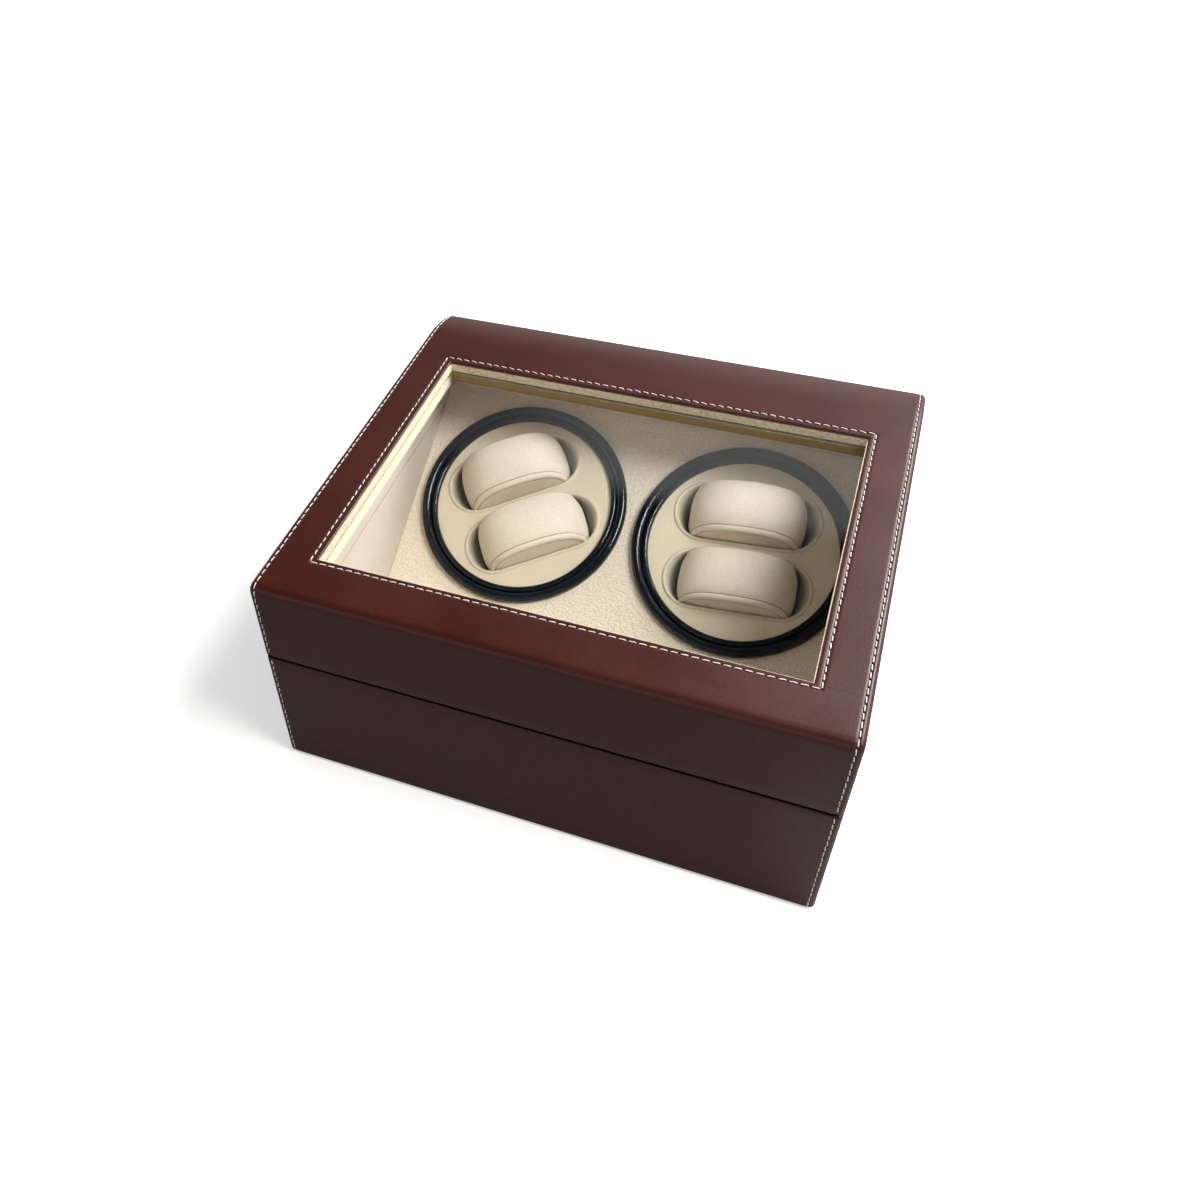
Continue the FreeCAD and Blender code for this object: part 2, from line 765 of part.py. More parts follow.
def cushion_section(across):
    """The oval across one station of a cushion, kept clear of its pocket's walls and corners."""
    half = pocket_width / 2 - cushion_side_gap
    share = abs(across) / half
    straight = (pocket_length - pocket_width) / 2
    reach = pocket_length / 2 - strap_gap
    reach = min(reach, straight + math.sqrt((pocket_width / 2 - cushion_soft_gap) ** 2 - across ** 2))
    bend = pocket_width / 2 - pocket_corner
    low = cushion_soft_gap - pocket_depth
    if abs(across) > bend:
        rise = math.sqrt((pocket_corner - cushion_soft_gap) ** 2 - (abs(across) - bend) ** 2)
        low = pocket_corner - pocket_depth - rise
    high = disc_rise + cushion_rise - cushion_edge_drop * share ** 2
    upper = half_oval(reach, -cushion_waist, high, across)
    lower = half_oval(reach, -cushion_waist, low, across)
    return Part.Wire(upper + lower)


def make_cushion(side, turn, upper):
    half = pocket_width / 2 - cushion_side_gap
    sections = [cushion_section(half * station) for station in cushion_stations]
    solid = Part.makeLoft(sections, True, True)
    solid.translate(Vector(0, pocket_pitch / 2 if upper else -pocket_pitch / 2, 0))
    return on_deck(solid, side, turn)


def make_turntables():
    stands = []
    bushes = []
    brackets = []
    for side, name, turn in ((-1, "left", left_turn), (1, "right", right_turn)):
        bezel = round_topped_ring(bezel_bore, bezel_radius, skirt_low, bezel_height, 0.0)
        save("bezel_" + name, on_deck(bezel, side))
        rim = round_topped_ring(rim_bore, rim_radius, flange_top, rim_height)
        save("rim_ring_" + name, on_deck(rim, side))
        save("disc_" + name, on_deck(make_disc(), side, turn))
        save("drum_" + name, on_deck(make_drum(), side, turn))
        save("ring_gear_" + name, make_ring_gear(side))
        shaft = rod(shaft_radius, bush_low - shaft_tail, hub_low + shaft_in_hub)
        save("shaft_" + name, on_deck(shaft, side))
        bush = tube(bush_radius, shaft_radius + bearing_play, bush_low, bush_seat)
        bush = bush.fuse(tube(bush_flange_radius, shaft_radius + bearing_play, bush_seat, bush_top))
        bushes.append(on_deck(bush.removeSplitter(), side))
        save("pinion_" + name, *make_pinion(side))
        save("motor_" + name, *make_motor(side))
        save("cushion_" + name + "_upper", make_cushion(side, turn, True))
        save("cushion_" + name + "_lower", make_cushion(side, turn, False))
        stands.append(make_stand(side))
        brackets += make_bracket(side)
    save("bearing_stands", *stands)
    save("bushes", *bushes)
    save("motor_brackets", *brackets)


# Controls

def lead_solid(points):
    """A round wire of straight runs joined by tangent arcs, each as large as its two runs allow."""
    start = points[0]
    edges = []
    for before, corner, after in zip(points, points[1:], points[2:]):
        into = (corner - before).normalize()
        out = (after - corner).normalize()
        setback = lead_bend_share * min((corner - before).Length, (after - corner).Length)
        half_turn = into.getAngle(out) / 2
        radius = setback / math.tan(half_turn)
        first = corner - into * setback
        last = corner + out * setback
        inward = (out - into).normalize()
        middle = corner + inward * (radius / math.cos(half_turn) - radius)
        edges += [Part.LineSegment(start, first).toShape(), Part.Arc(first, middle, last).toShape()]
        start = last
    edges.append(Part.LineSegment(start, points[-1]).toShape())
    section = Part.Wire(Part.makeCircle(lead_radius, points[0], points[1] - points[0]))
    return Part.Wire(edges).makePipeShell([section], True, False)


def make_leads():
    """One lead from each motor's tail to the circuit board, and one from the inlet."""
    board_face = back_board - plate_thickness - mode_switch_depth - circuit_board
    down = Vector(0, sine, -cosine)
    leads = []
    for side, x in ((-1, knob_first_x + knob_pitch / 4), (1, knob_last_x - knob_pitch / 4)):
        motor_low = plate_low - motor_length
        tail = beside_ring(rod(lead_radius, motor_low - 2 * lead_radius, motor_low), side)
        top = tail[0].CenterOfMass - down * lead_radius
        turn = top + down * lead_run
        end = Vector(x, board_face, controls_height)
        leads.append(lead_solid([top, turn, end - Vector(0, lead_run, 0), end]))
    inlet_end = Vector(inlet_x, back_board - inlet_depth, controls_height)
    board_end_x = knob_first_x - circuit_margin + 2 * lead_radius
    board_end = Vector(board_end_x, board_face, controls_height - lead_dip)
    forward = Vector(0, lead_run, 0)
    sag = Vector((inlet_x + board_end_x) / 2, board_face - lead_sag * lead_run,
                 controls_height - lead_sag * lead_dip)
    leads.append(lead_solid([inlet_end, inlet_end - forward, sag, board_end - forward, board_end]))
    save("leads", *leads)


def make_controls():
    face = back_board
    plate_back = face - plate_thickness
    middle = controls_height
    plate = block((-recess_width / 2 - plate_margin, plate_back, middle - recess_height / 2 - plate_margin),
                  (recess_width / 2 + plate_margin, face, middle + recess_height / 2 + plate_margin))
    plate = plate.cut(rod_to_back(inlet_radius, plate_back, face, inlet_x, middle))
    plate = plate.cut(block((switch_x - switch_width / 2, plate_back, middle - switch_tall / 2),
                            (switch_x + switch_width / 2, face, middle + switch_tall / 2)))
    for x in (knob_first_x, knob_last_x):
        plate = plate.cut(rod_to_back(stem_radius + bearing_play, plate_back, face, x, middle))
    save("control_plate", plate)

    inlet = rod_to_back(inlet_radius, face - inlet_depth, face, inlet_x, middle)
    inlet = inlet.fuse(rod_to_back(inlet_flange_radius, face, face + inlet_flange, inlet_x, middle))
    mouth = face + inlet_flange
    inlet = inlet.cut(rod_to_back(socket_radius, mouth - socket_depth, mouth, inlet_x, middle))
    contact = rod_to_back(contact_radius, mouth - socket_depth, mouth - inlet_flange, inlet_x, middle)
    save("dc_inlet", inlet.fuse(contact))

    room_x = rocker_width / 2 + rocker_play
    room_z = rocker_tall / 2 + rocker_play
    axis_y = face + switch_lip - rocker_rise
    housing = block((switch_x - switch_width / 2, face - switch_depth, middle - switch_tall / 2),
                    (switch_x + switch_width / 2, face, middle + switch_tall / 2))
    lip_x = switch_width / 2 + switch_flange
    lip_z = switch_tall / 2 + switch_flange
    lip = block((switch_x - lip_x, face, middle - lip_z),
                (switch_x + lip_x, face + switch_lip, middle + lip_z))
    room = block((switch_x - room_x, axis_y - rocker_thickness, middle - room_z),
                 (switch_x + room_x, back, middle + room_z))
    pin_hole = rod(rocker_pin_radius + bearing_play, middle - room_z - rocker_pin_length,
                   middle + room_z + rocker_pin_length, switch_x, axis_y)
    save("switch_housing", housing.fuse(lip).cut(room).cut(pin_hole))

    paddle = block((-rocker_width / 2, -rocker_thickness / 2, -rocker_tall / 2),
                   (rocker_width / 2, rocker_thickness / 2, rocker_tall / 2))
    hollow_radius = rocker_width * rocker_dish
    dish = rod(hollow_radius, -rocker_tall, rocker_tall, 0,
               rocker_thickness / 2 + math.sqrt(hollow_radius ** 2 - (rocker_width / 2) ** 2))
    pin_reach = rocker_tall / 2 + rocker_play + rocker_pin_length - bearing_play
    rocker = paddle.cut(dish).fuse(rod(rocker_pin_radius, -pin_reach, pin_reach))
    rocker.rotate(Vector(0, 0, 0), Vector(0, 0, 1), -rocker_tilt)
    save("switch_rocker", rocker.translate(Vector(switch_x, axis_y, middle)))

    board_back = plate_back - mode_switch_depth
    circuit = block((knob_first_x - circuit_margin, board_back - circuit_board, middle - circuit_height / 2),
                    (knob_last_x + circuit_margin, board_back, middle + circuit_height / 2))
    chip_half = chip_size / 2
    board_face = board_back - circuit_board
    for x in (knob_first_x, (knob_first_x + knob_last_x) / 2, knob_last_x):
        circuit = circuit.fuse(block((x - chip_half, board_face - chip_height, middle - chip_half),
                                     (x + chip_half, board_face, middle + chip_half)))
    half = mode_switch_size / 2
    knob_low = face + knob_gap
    knob_face = knob_low + knob_length
    for x, name in ((knob_first_x, "left"), (knob_last_x, "right")):
        knob = rod_to_back(knob_radius, knob_low, knob_face, x, middle)
        outer_edge = [edge for edge in knob.Edges if edge.BoundBox.YMin > knob_face - knob_chamfer]
        knob = knob.makeChamfer(knob_chamfer, outer_edge)
        knob = knob.fuse(rod_to_back(stem_radius, plate_back - stem_length, knob_low, x, middle))
        mark = block((x - knob_mark_width / 2, knob_face - knob_mark_depth, middle),
                     (x + knob_mark_width / 2, back, middle + knob_radius))
        save("mode_knob_" + name, knob.cut(mark))
        body = block((x - half, board_back, middle - half), (x + half, plate_back, middle + half))
        bore_end = plate_back - stem_length - knob_gap
        bore = rod_to_back(stem_radius + bearing_play, bore_end, plate_back, x, middle)
        circuit = circuit.fuse(body.cut(bore))
    save("control_board", circuit.removeSplitter())


def make_winder():
    os.makedirs("parts", exist_ok=True)
    print("case", round(2 * half_width, 1), "x", round(case_depth, 1), "x", round(lid_top, 1))
    make_base()
    make_base_inside()
    make_deck()
    make_lid()
    make_hinges()
    make_turntables()
    make_controls()
    make_leads()


make_winder()
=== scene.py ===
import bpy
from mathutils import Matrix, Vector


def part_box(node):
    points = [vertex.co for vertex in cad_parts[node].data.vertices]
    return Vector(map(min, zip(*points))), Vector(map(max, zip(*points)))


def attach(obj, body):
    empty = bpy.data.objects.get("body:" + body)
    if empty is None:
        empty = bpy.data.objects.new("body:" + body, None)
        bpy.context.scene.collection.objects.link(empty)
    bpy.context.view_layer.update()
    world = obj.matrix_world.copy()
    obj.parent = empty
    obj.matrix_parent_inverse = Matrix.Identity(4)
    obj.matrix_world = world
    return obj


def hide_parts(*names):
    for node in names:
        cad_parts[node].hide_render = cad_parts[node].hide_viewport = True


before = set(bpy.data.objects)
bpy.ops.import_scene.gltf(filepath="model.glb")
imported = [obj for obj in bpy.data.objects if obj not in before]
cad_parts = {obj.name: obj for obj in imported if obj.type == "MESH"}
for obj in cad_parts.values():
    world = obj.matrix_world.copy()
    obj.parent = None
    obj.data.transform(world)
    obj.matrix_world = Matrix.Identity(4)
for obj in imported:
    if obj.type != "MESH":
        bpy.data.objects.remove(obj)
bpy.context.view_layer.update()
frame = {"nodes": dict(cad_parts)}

import fnmatch
import math

import bmesh
import bpy
import numpy as np
from mathutils import Matrix, Vector

# Looks of a table-top watch winder: leather box, glass lid, two turntables on a cream deck.
# Lengths are millimetres in the dictionaries and metres in Blender.
mm = 0.001
quarter = math.pi / 2
sides = {"left": -1, "right": 1}
nodes = frame["nodes"]


def top(node):
    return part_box(node)[1].z / mm


# The box

case = {
    "halfWidth": 166.2,    # the leather stands about a millimetre proud of the boards' wrap
    "front": -153.05,
    "back": 148.05,
    "bottom": 2.0,
    "baseTop": top("base_wrap"),
    "lidBottom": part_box("lid_wrap")[0].z / mm,
    "lidTop": top("lid_top_panel") + 1.2,
    "fold": 5.5,
    "slopeRun": 37.5,
    "slopeRadius": 85.0,
    "rim": 8.2,
    "under": 13.0,         # how far the base's leather runs in under its bottom
    "lip": 1.2,
}
bend = case["back"] - case["slopeRun"]      # where the lid's flat top ends

leatherEdge = {
    "round": 3.4,          # radius of the box's side edges
    "seamIn": 3.8,         # stitch line to the side face
    "groove": 0.42,        # how deep the thread pulls the leather in
    "grooveWidth": 0.75,
    "overlap": 4.4,        # how far the strip's turned edge comes round onto the side
    "sideSet": 0.6,        # the side leather lies this much further in
    "sideIn": 3.6,         # its outline lies this far inside the strip's
    "sideLap": 0.4,        # and reaches this far past the round of the box's edges
}

# Waves in the leather: their size and height, mm, and the seed of their directions
ripples = {
    "lidTop": (90.0, 0.10, 4),
    "lidSide": (70.0, 0.1, 8),
    "baseSide": (80.0, 0.1, 6),
}

stitching = {
    "pitch": 5.4,
    "reach": 0.43,         # a stitch reaches this share of the pitch either side of its middle
    "thread": 0.38,        # half the thread's width
    "flat": 0.8,           # its height as a share of its width
    "rise": 0.16,
    "dip": 0.5,
    "slant": 0.16,
    "backSlant": -0.42,    # the window's back row lies more aslant
    "riseVaries": 0.03,
    "slantVaries": 0.04,
    "wander": 0.05,
    "outward": 0.05,       # the side rows lean out a little
    "rows": 8,
    "around": 6,
}
stitchEnd = 1.2            # the rows end this far from the leather's edge

window = {
    "halfX": 137.75,       # the leather's own opening; the woven edging shows inside it
    "front": -120.85,
    "back": 81.35,
    "roll": 1.05,          # the hole is cut this much wider, for the rolled edge
    "seamX": 141.3,
    "seamFront": -124.0,
    "seamBack": 85.4,
}

recess = {                 # for the control plate in the base's back
    "halfX": 62.0,
    "low": 14.5,
    "high": 40.5,
    "deep": 8.2,
    "roll": 0.9,
}

deck = {
    "tilt": math.radians(28.9),
    "centre": (76.673, 51.669, 64.732),
    "turn": {"left": math.radians(32.0), "right": math.radians(4.5)},
}


# Surfaces on grids

noSeam = (0.5, 9.0)        # a place on the seam map that is far from every stitch


# Quads between neighbouring points of a grid, wrapping round where a side is closed.
def patch(grid, uv=None, closeRows=False, closeCols=False, keep=None):
    rows, cols = grid.shape[:2]
    index = np.arange(rows * cols).reshape(rows, cols)
    if closeRows:
        index = np.vstack([index, index[:1]])
    if closeCols:
        index = np.hstack([index, index[:, :1]])
    if uv is None:
        uv = np.zeros(index.shape + (2,)) + noSeam
    low, high = slice(None, -1), slice(1, None)
    corners = [(low, low), (low, high), (high, high), (high, low)]
    cells = np.stack([index[c] for c in corners], axis=-1)
    cellUv = np.stack([uv[c] for c in corners], axis=-2)
    mask = np.ones(cells.shape[:2], bool) if keep is None else keep
    return {"points": grid.reshape(-1, 3), "faces": cells[mask], "uv": cellUv[mask]}


# Every pair of a value for a row with a value for a column, as a seam map needs them.
def pairs(rows, cols):
    return np.stack(np.broadcast_arrays(rows[:, None], cols), axis=-1)


def unit(vectors):
    return vectors / np.linalg.norm(vectors, axis=-1, keepdims=True)


# How far along a line each of its points lies.
def wayAlong(points):
    return np.append(0, np.cumsum(np.linalg.norm(np.diff(points, axis=0), axis=1)))


# The same patch with its faces looking away from a point, or towards it. For a closed form any point
# will do, as the sum is then a multiple of its volume.
def turned(part, point, away=True):
    p = part["points"][part["faces"]]
    normal = np.cross(p[:, 2] - p[:, 0], p[:, 3] - p[:, 1])
    outward = np.sum(normal * (p.mean(axis=1) - point))
    if (outward < 0) == away:
        part["faces"] = part["faces"][:, ::-1]
        part["uv"] = part["uv"][:, ::-1]
    return part


def linked(name, data):
    made = bpy.data.objects.new(name, data)
    bpy.context.scene.collection.objects.link(made)
    return made


def meshObject(name, points, faces, scale=mm):
    mesh = bpy.data.meshes.new(name)
    mesh.from_pydata(points * scale, [], faces)
    return linked(name, mesh)


# One mesh from several patches, welded where they meet, riding on a CAD body.
def makePiece(name, parts, body, look, replaces=(), sharp=50.0):
    starts = np.cumsum([0] + [len(p["points"]) for p in parts[:-1]])
    faces = np.concatenate([p["faces"] + s for p, s in zip(parts, starts)])
    piece = meshObject(name, np.concatenate([p["points"] for p in parts]), faces)
    mesh = piece.data
    uv = np.concatenate([p["uv"] for p in parts])
    mesh.uv_layers.new(name="seam").data.foreach_set("uv", uv.astype(np.float32).ravel())
    shape = bmesh.new()
    shape.from_mesh(mesh)
    bmesh.ops.remove_doubles(shape, verts=shape.verts, dist=2e-6)
    shape.to_mesh(mesh)
    shape.free()
    mesh.shade_smooth()
    mesh.set_sharp_from_angle(angle=math.radians(sharp))
    mesh.materials.append(looks[look])
    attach(piece, body)
    if replaces:
        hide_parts(*replaces)
    return piece


# Gentle unevenness: a few sine waves of about one size, crossing in fixed directions.
def waves(x, y, size, amount, seed):
    pick = np.random.default_rng(seed)
    total = 0.0
    for angle, phase, stretch in pick.uniform((0, 0, 0.7), (np.pi, 2 * np.pi, 1.5), (5, 3)):
        along = x * np.cos(angle) + y * np.sin(angle)
        total = total + np.sin(2 * np.pi * along / (size * stretch) + phase)
    return amount * total / 5


# Materials

def addNode(tree, kind, inputs=None, **settings):
    made = tree.nodes.new("ShaderNode" + kind)
    for key, value in settings.items():
        setattr(made, key, value)
    for key, value in (inputs or {}).items():
        if isinstance(value, bpy.types.NodeSocket):
            tree.links.new(value, made.inputs[key])
        else:
            made.inputs[key].default_value = value
    return made


# These take sockets and add their node to the tree that the first one is in.
def maths(operation, a, b=0.0, c=0.0, clamp=False):
    tree = (a if isinstance(a, bpy.types.NodeSocket) else b).id_data
    return addNode(tree, "Math", {0: a, 1: b, 2: c}, operation=operation, use_clamp=clamp).outputs[0]


def blendColours(factor, a, b):
    return addNode(factor.id_data, "Mix", {0: factor, 6: a, 7: b}, data_type="RGBA").outputs[2]


def shaded(colour, value):
    return addNode(colour.id_data, "HueSaturation", {"Value": value, "Color": colour}).outputs[0]


# A value between fromLow and fromHigh, moved to between toLow and toHigh, evenly or with eased ends.
def mapped(value, fromLow, fromHigh, toLow, toHigh, smooth=False):
    inputs = {0: value, 1: fromLow, 2: fromHigh, 3: toLow, 4: toHigh}
    kind = "SMOOTHSTEP" if smooth else "LINEAR"
    return addNode(value.id_data, "MapRange", inputs, interpolation_type=kind).outputs[0]


def noise(vector, scale, detail=2.0, roughness=0.5):
    inputs = {"Vector": vector, "Scale": scale, "Detail": detail, "Roughness": roughness}
    return addNode(vector.id_data, "TexNoise", inputs).outputs[0]


def streaks(vector, stretch, detail, roughness=0.6):
    drawn = addNode(vector.id_data, "Mapping", {0: vector, 3: stretch}).outputs[0]
    return noise(drawn, 1.0, detail, roughness)


def cells(vector, scale, smoothness):
    inputs = {"Vector": vector, "Scale": scale, "Smoothness": smoothness}
    return addNode(vector.id_data, "TexVoronoi", inputs, feature="SMOOTH_F1").outputs[0]


def bump(height, distance, strength, normal=None):
    inputs = {"Height": height, "Distance": distance, "Strength": strength}
    if normal is not None:
        inputs["Normal"] = normal
    return addNode(height.id_data, "Bump", inputs).outputs[0]


def axes(vector):
    return addNode(vector.id_data, "SeparateXYZ", {0: vector}).outputs


# The piece's own map: along a seam, counted in stitches, and the distance beside it in mm.
def seamMap(place):
    return axes(addNode(place.id_data, "UVMap", uv_map="seam").outputs[0])


# An empty material with its plain socket values; gives its shader and its place on the object too.
def newMaterial(name, **plain):
    material = bpy.data.materials.new(name)
    material.use_nodes = True
    tree = material.node_tree
    shader = tree.nodes["Principled BSDF"]
    for socket, value in plain.items():
        shader.inputs[socketNames.get(socket, socket)].default_value = value
    return material, shader, addNode(tree, "TexCoord").outputs["Object"]


socketNames = {
    "specular": "Specular IOR Level",
    "sheen": "Sheen Weight",
    "sheenRough": "Sheen Roughness",
    "coat": "Coat Weight",
    "coatRough": "Coat Roughness",
    "metallic": "Metallic",
    "rough": "Roughness",
    "colour": "Base Color",
    "transmission": "Transmission Weight",
}


def connect(shader, colour=None, roughness=None, normal=None):
    for socket, value in (("Base Color", colour), ("Roughness", roughness), ("Normal", normal)):
        if value is not None:
            shader.id_data.links.new(value, shader.inputs[socket])


brown = {
    "dark": (0.033, 0.0045, 0.0021, 1),
    "light": (0.048, 0.0075, 0.0039, 1),
    # dark colour painted as shade in the needle holes, along the stitch groove and in the gap between lid
    # and base
    "hole": (0.006, 0.0025, 0.002, 1),
    "roughLow": 0.35,
    "roughHigh": 0.45,
    "grain": 780.0,
    "grainDepth": 0.00007,
    "holeLong": 0.62,      # half the needle hole's length along the seam, mm
    "holeWide": 0.42,
    "grooveShadeWide": 0.9,       # painted shade of the stitch groove reaches this far either side of the stitches, mm
    "grooveShade": 0.45,
    "split": 94.73,        # middle of the gap between base and lid
    "gapShadeReach": (1.0, 1.5),     # painted shade of the gap between lid and base, out to here from that middle
    "gapShade": 0.85,
}


# Smooth imitation leather: cloudy colour, fine close grain, and needle holes by the seam map. A hole
# is an oval round each place where the count of stitches is whole. The holes are painted dark as shade,
# and painted shade also darkens the stitch groove and the gap between lid and base.
def brownLeather():
    material, shader, place = newMaterial("brownLeather", specular=0.34)
    cloud = noise(place, 14.0, 4.0, 0.6)
    fleck = noise(place, 420.0)
    share = maths("MULTIPLY_ADD", cloud, 1.5, -0.25, clamp=True)
    colour = blendColours(share, brown["dark"], brown["light"])
    colour = shaded(colour, mapped(fleck, 0.3, 0.7, 0.88, 1.08))
    seam = seamMap(place)
    nearest = maths("PINGPONG", seam[0], 0.5)
    along = maths("MULTIPLY", nearest, stitching["pitch"] / brown["holeLong"])
    beside = maths("DIVIDE", seam[1], brown["holeWide"])
    reach = maths("SQRT", maths("ADD", maths("POWER", along, 2.0), maths("MULTIPLY", beside, beside)))
    # needle holes, painted dark as shade
    hole = mapped(reach, 0.75, 1.25, 1.0, 0.0, True)
    aside = maths("ABSOLUTE", seam[1])
    # painted shade along the stitch groove, darkest on the stitch line
    grooveShade = mapped(aside, 0.0, brown["grooveShadeWide"], brown["grooveShade"], 0.0, True)
    colour = blendColours(maths("MAXIMUM", hole, grooveShade), colour, brown["hole"])
    # painted shade in the gap between lid and base, by height
    height = axes(place)[2]
    fromSplit = maths("ABSOLUTE", maths("SUBTRACT", height, brown["split"] * mm))
    inner, outer = brown["gapShadeReach"]
    gapShade = mapped(fromSplit, inner * mm, outer * mm, brown["gapShade"], 0.0, True)
    colour = blendColours(gapShade, colour, brown["hole"])
    normal = bump(noise(place, 26.0, 3.0), 0.0006, 0.12)
    normal = bump(cells(place, brown["grain"], 0.4), brown["grainDepth"], 0.35, normal)
    normal = bump(noise(place, 2300.0), 0.00004, 0.25, normal)
    normal = bump(maths("SUBTRACT", 1.0, hole), 0.0004, 0.8, normal)
    rough = mapped(cloud, 0.3, 0.7, brown["roughLow"], brown["roughHigh"])
    rough = maths("MAXIMUM", rough, maths("MULTIPLY", hole, 0.9))
    connect(shader, colour, rough, normal)
    return material


# Pale imitation leather with a pebbled grain of soft cells; the creases between them are painted darker
# as shade.
def creamLeather(name, look):
    material, shader, place = newMaterial(name, specular=look["shine"])
    cloud = noise(place, 11.0, 3.0)
    grain = cells(place, look["grain"], 0.5)
    small = noise(place, look["grain"] * 2.2)
    colour = blendColours(cloud, look["low"], look["high"])
    # painted shade in the creases between the grain's cells
    colour = shaded(colour, mapped(grain, 0.15, 0.75, 1.02, look["creases"]))
    normal = bump(grain, look["depth"], 0.7)
    normal.node.invert = True
    normal = bump(small, look["depth"] * 0.35, 0.4, normal)
    connect(shader, colour, mapped(grain, 0.1, 0.7, look["rough"], look["rough"] + 0.12), normal)
    return material


# Woven cloth: a sine wave for each of two crossing sets of threads, multiplied, over a cloudy colour,
# with a little fuzz; the weave's dips are painted darker as shade. Its foot is painted dark as shade,
# and along its head at the window's back lies a painted shadow of the leather's rolled edge.
def cloth(name, look):
    material, shader, place = newMaterial(name, specular=0.2, sheen=look["sheen"], sheenRough=0.5)
    x, y, z = axes(place)
    turn = 2 * math.pi / (look["thread"] * mm)
    warp = maths("SINE", maths("MULTIPLY", maths("ADD", x, y), turn))
    weft = maths("SINE", maths("MULTIPLY", z, turn))
    weave = maths("MULTIPLY_ADD", maths("MULTIPLY", warp, weft), 0.5, 0.5)
    fuzz = noise(place, 900.0, 2.0, 0.6)
    cloud = noise(place, 30.0, 3.0)
    shade = maths("MULTIPLY_ADD", weave, 0.5, fuzz)
    shade = mapped(shade, 0.25, 0.85, look["creases"], 1.08)
    # painted shade along the foot, and a painted shadow of the leather's roll along the head at the back
    foot = mapped(z, look["foot"], look["foot"] + 0.0005, 0.1, 1.0, True)
    head = mapped(z, look["head"] - 0.0005, look["head"], 0.0, 0.9, True)
    head = maths("MULTIPLY", head, mapped(y, *look["headBack"], 0.0, 1.0))
    ends = maths("MULTIPLY", foot, maths("SUBTRACT", 1.0, head))
    colour = blendColours(cloud, look["low"], look["high"])
    colour = shaded(colour, maths("MULTIPLY", shade, ends))
    normal = bump(weave, look["depth"], 0.6)
    normal = bump(fuzz, look["depth"] * 0.6, 0.5, normal)
    connect(shader, colour, mapped(fuzz, 0.3, 0.7, 0.82, 0.95), normal)
    return material


frameBands = {             # places in metres on the frame that holds the glass
    "backShadeFrom": (0.074, 0.078),
    "shelf": (0.1426, 0.1428),
    "shelfFrom": (0.0811, 0.0814),
    "under": (0.1369, 0.1371),
    "shade": (0.1370, 0.1415),
}


# The glass's frame: cream like the lining, but a golden-brown painted shade on the edge along its back,
# where only the shelf's strip above it stays cream. That painted shade darkens downwards.
def frameLook():
    material, shader, place = newMaterial("frameStrip", specular=0.25)
    depth, height = axes(place)[1:]
    streak = streaks(place, (25.0, 400.0, 700.0), 4.0)
    cream = blendColours(streak, (0.74, 0.65, 0.52, 1), (0.80, 0.72, 0.59, 1))
    golden = blendColours(streak, (0.20, 0.12, 0.038, 1), (0.34, 0.215, 0.08, 1))
    golden = shaded(golden, mapped(height, *frameBands["shade"], 0.55, 1.0, True))
    # painted shade along the back edge, cream again on the shelf's strip and underneath
    backShade = mapped(depth, *frameBands["backShadeFrom"], 0.0, 1.0, True)
    strip = maths("MULTIPLY", mapped(height, *frameBands["shelf"], 0.0, 1.0),
                  mapped(depth, *frameBands["shelfFrom"], 0.0, 1.0))
    backShade = maths("MULTIPLY", backShade, maths("SUBTRACT", 1.0, strip))
    backShade = maths("MULTIPLY", backShade, mapped(height, *frameBands["under"], 0.0, 1.0))
    colour = blendColours(backShade, cream, golden)
    connect(shader, colour, mapped(streak, 0.3, 0.7, 0.5, 0.7), bump(streak, 0.0001, 0.4))
    return material


# colour of the creases at the seams: partly the seam's thread, partly painted shade
seamShade = (0.16, 0.11, 0.065, 1)


# Soft brushed cloth: fine fuzz over broad, faint clouds, darker in the creases by the seam map: partly
# the seam's thread and partly painted shade.
def suede(name, look):
    material, shader, place = newMaterial(name, specular=0.15, sheen=0.35, sheenRough=0.45)
    cloud = noise(place, 55.0, 4.0, 0.6)
    nap = noise(place, 700.0, 3.0, 0.6)
    colour = blendColours(cloud, look["low"], look["high"])
    colour = shaded(colour, mapped(nap, 0.3, 0.7, 0.91, 1.05))
    # painted shade in the creases beside the seams, with some of the seam's thread
    beside = maths("ABSOLUTE", seamMap(place)[1])
    crease = mapped(beside, 0.1, 0.55, look.get("crease", 0.0), 0.0, True)
    colour = blendColours(crease, colour, seamShade)
    connect(shader, colour, mapped(cloud, 0.3, 0.7, 0.8, 0.92), bump(nap, 0.00012, 0.4))
    return material


dustColour = (0.35, 0.35, 0.34, 1)


# Hard polished or moulded surface with faint smears and specks of dust.
def polished(name, plain, low, high, smear, rough, dust, depth):
    material, shader, place = newMaterial(name, **plain)
    cloud = noise(place, smear, 4.0, 0.65)
    speck = noise(place, 1600.0, 1.0)
    specks = mapped(speck, 0.66, 0.8, 0.0, dust)
    colour = blendColours(specks, blendColours(cloud, low + (1,), high + (1,)), dustColour)
    rough = maths("ADD", mapped(cloud, 0.3, 0.7, rough, rough * 1.6), specks)
    connect(shader, colour, rough, bump(speck, depth, 0.3))
    return material


# Drawn or turned metal: fine streaks in one direction, with a little tarnish.
def brushed(name, low, high, stretch, rough):
    material, shader, place = newMaterial(name, metallic=1.0)
    streak = streaks(place, stretch, 3.0)
    colour = blendColours(noise(place, 90.0, 4.0), low + (1,), high + (1,))
    rough = mapped(streak, 0.3, 0.7, rough, rough + 0.15)
    connect(shader, colour, rough, bump(streak, 0.00003, 0.4))
    return material


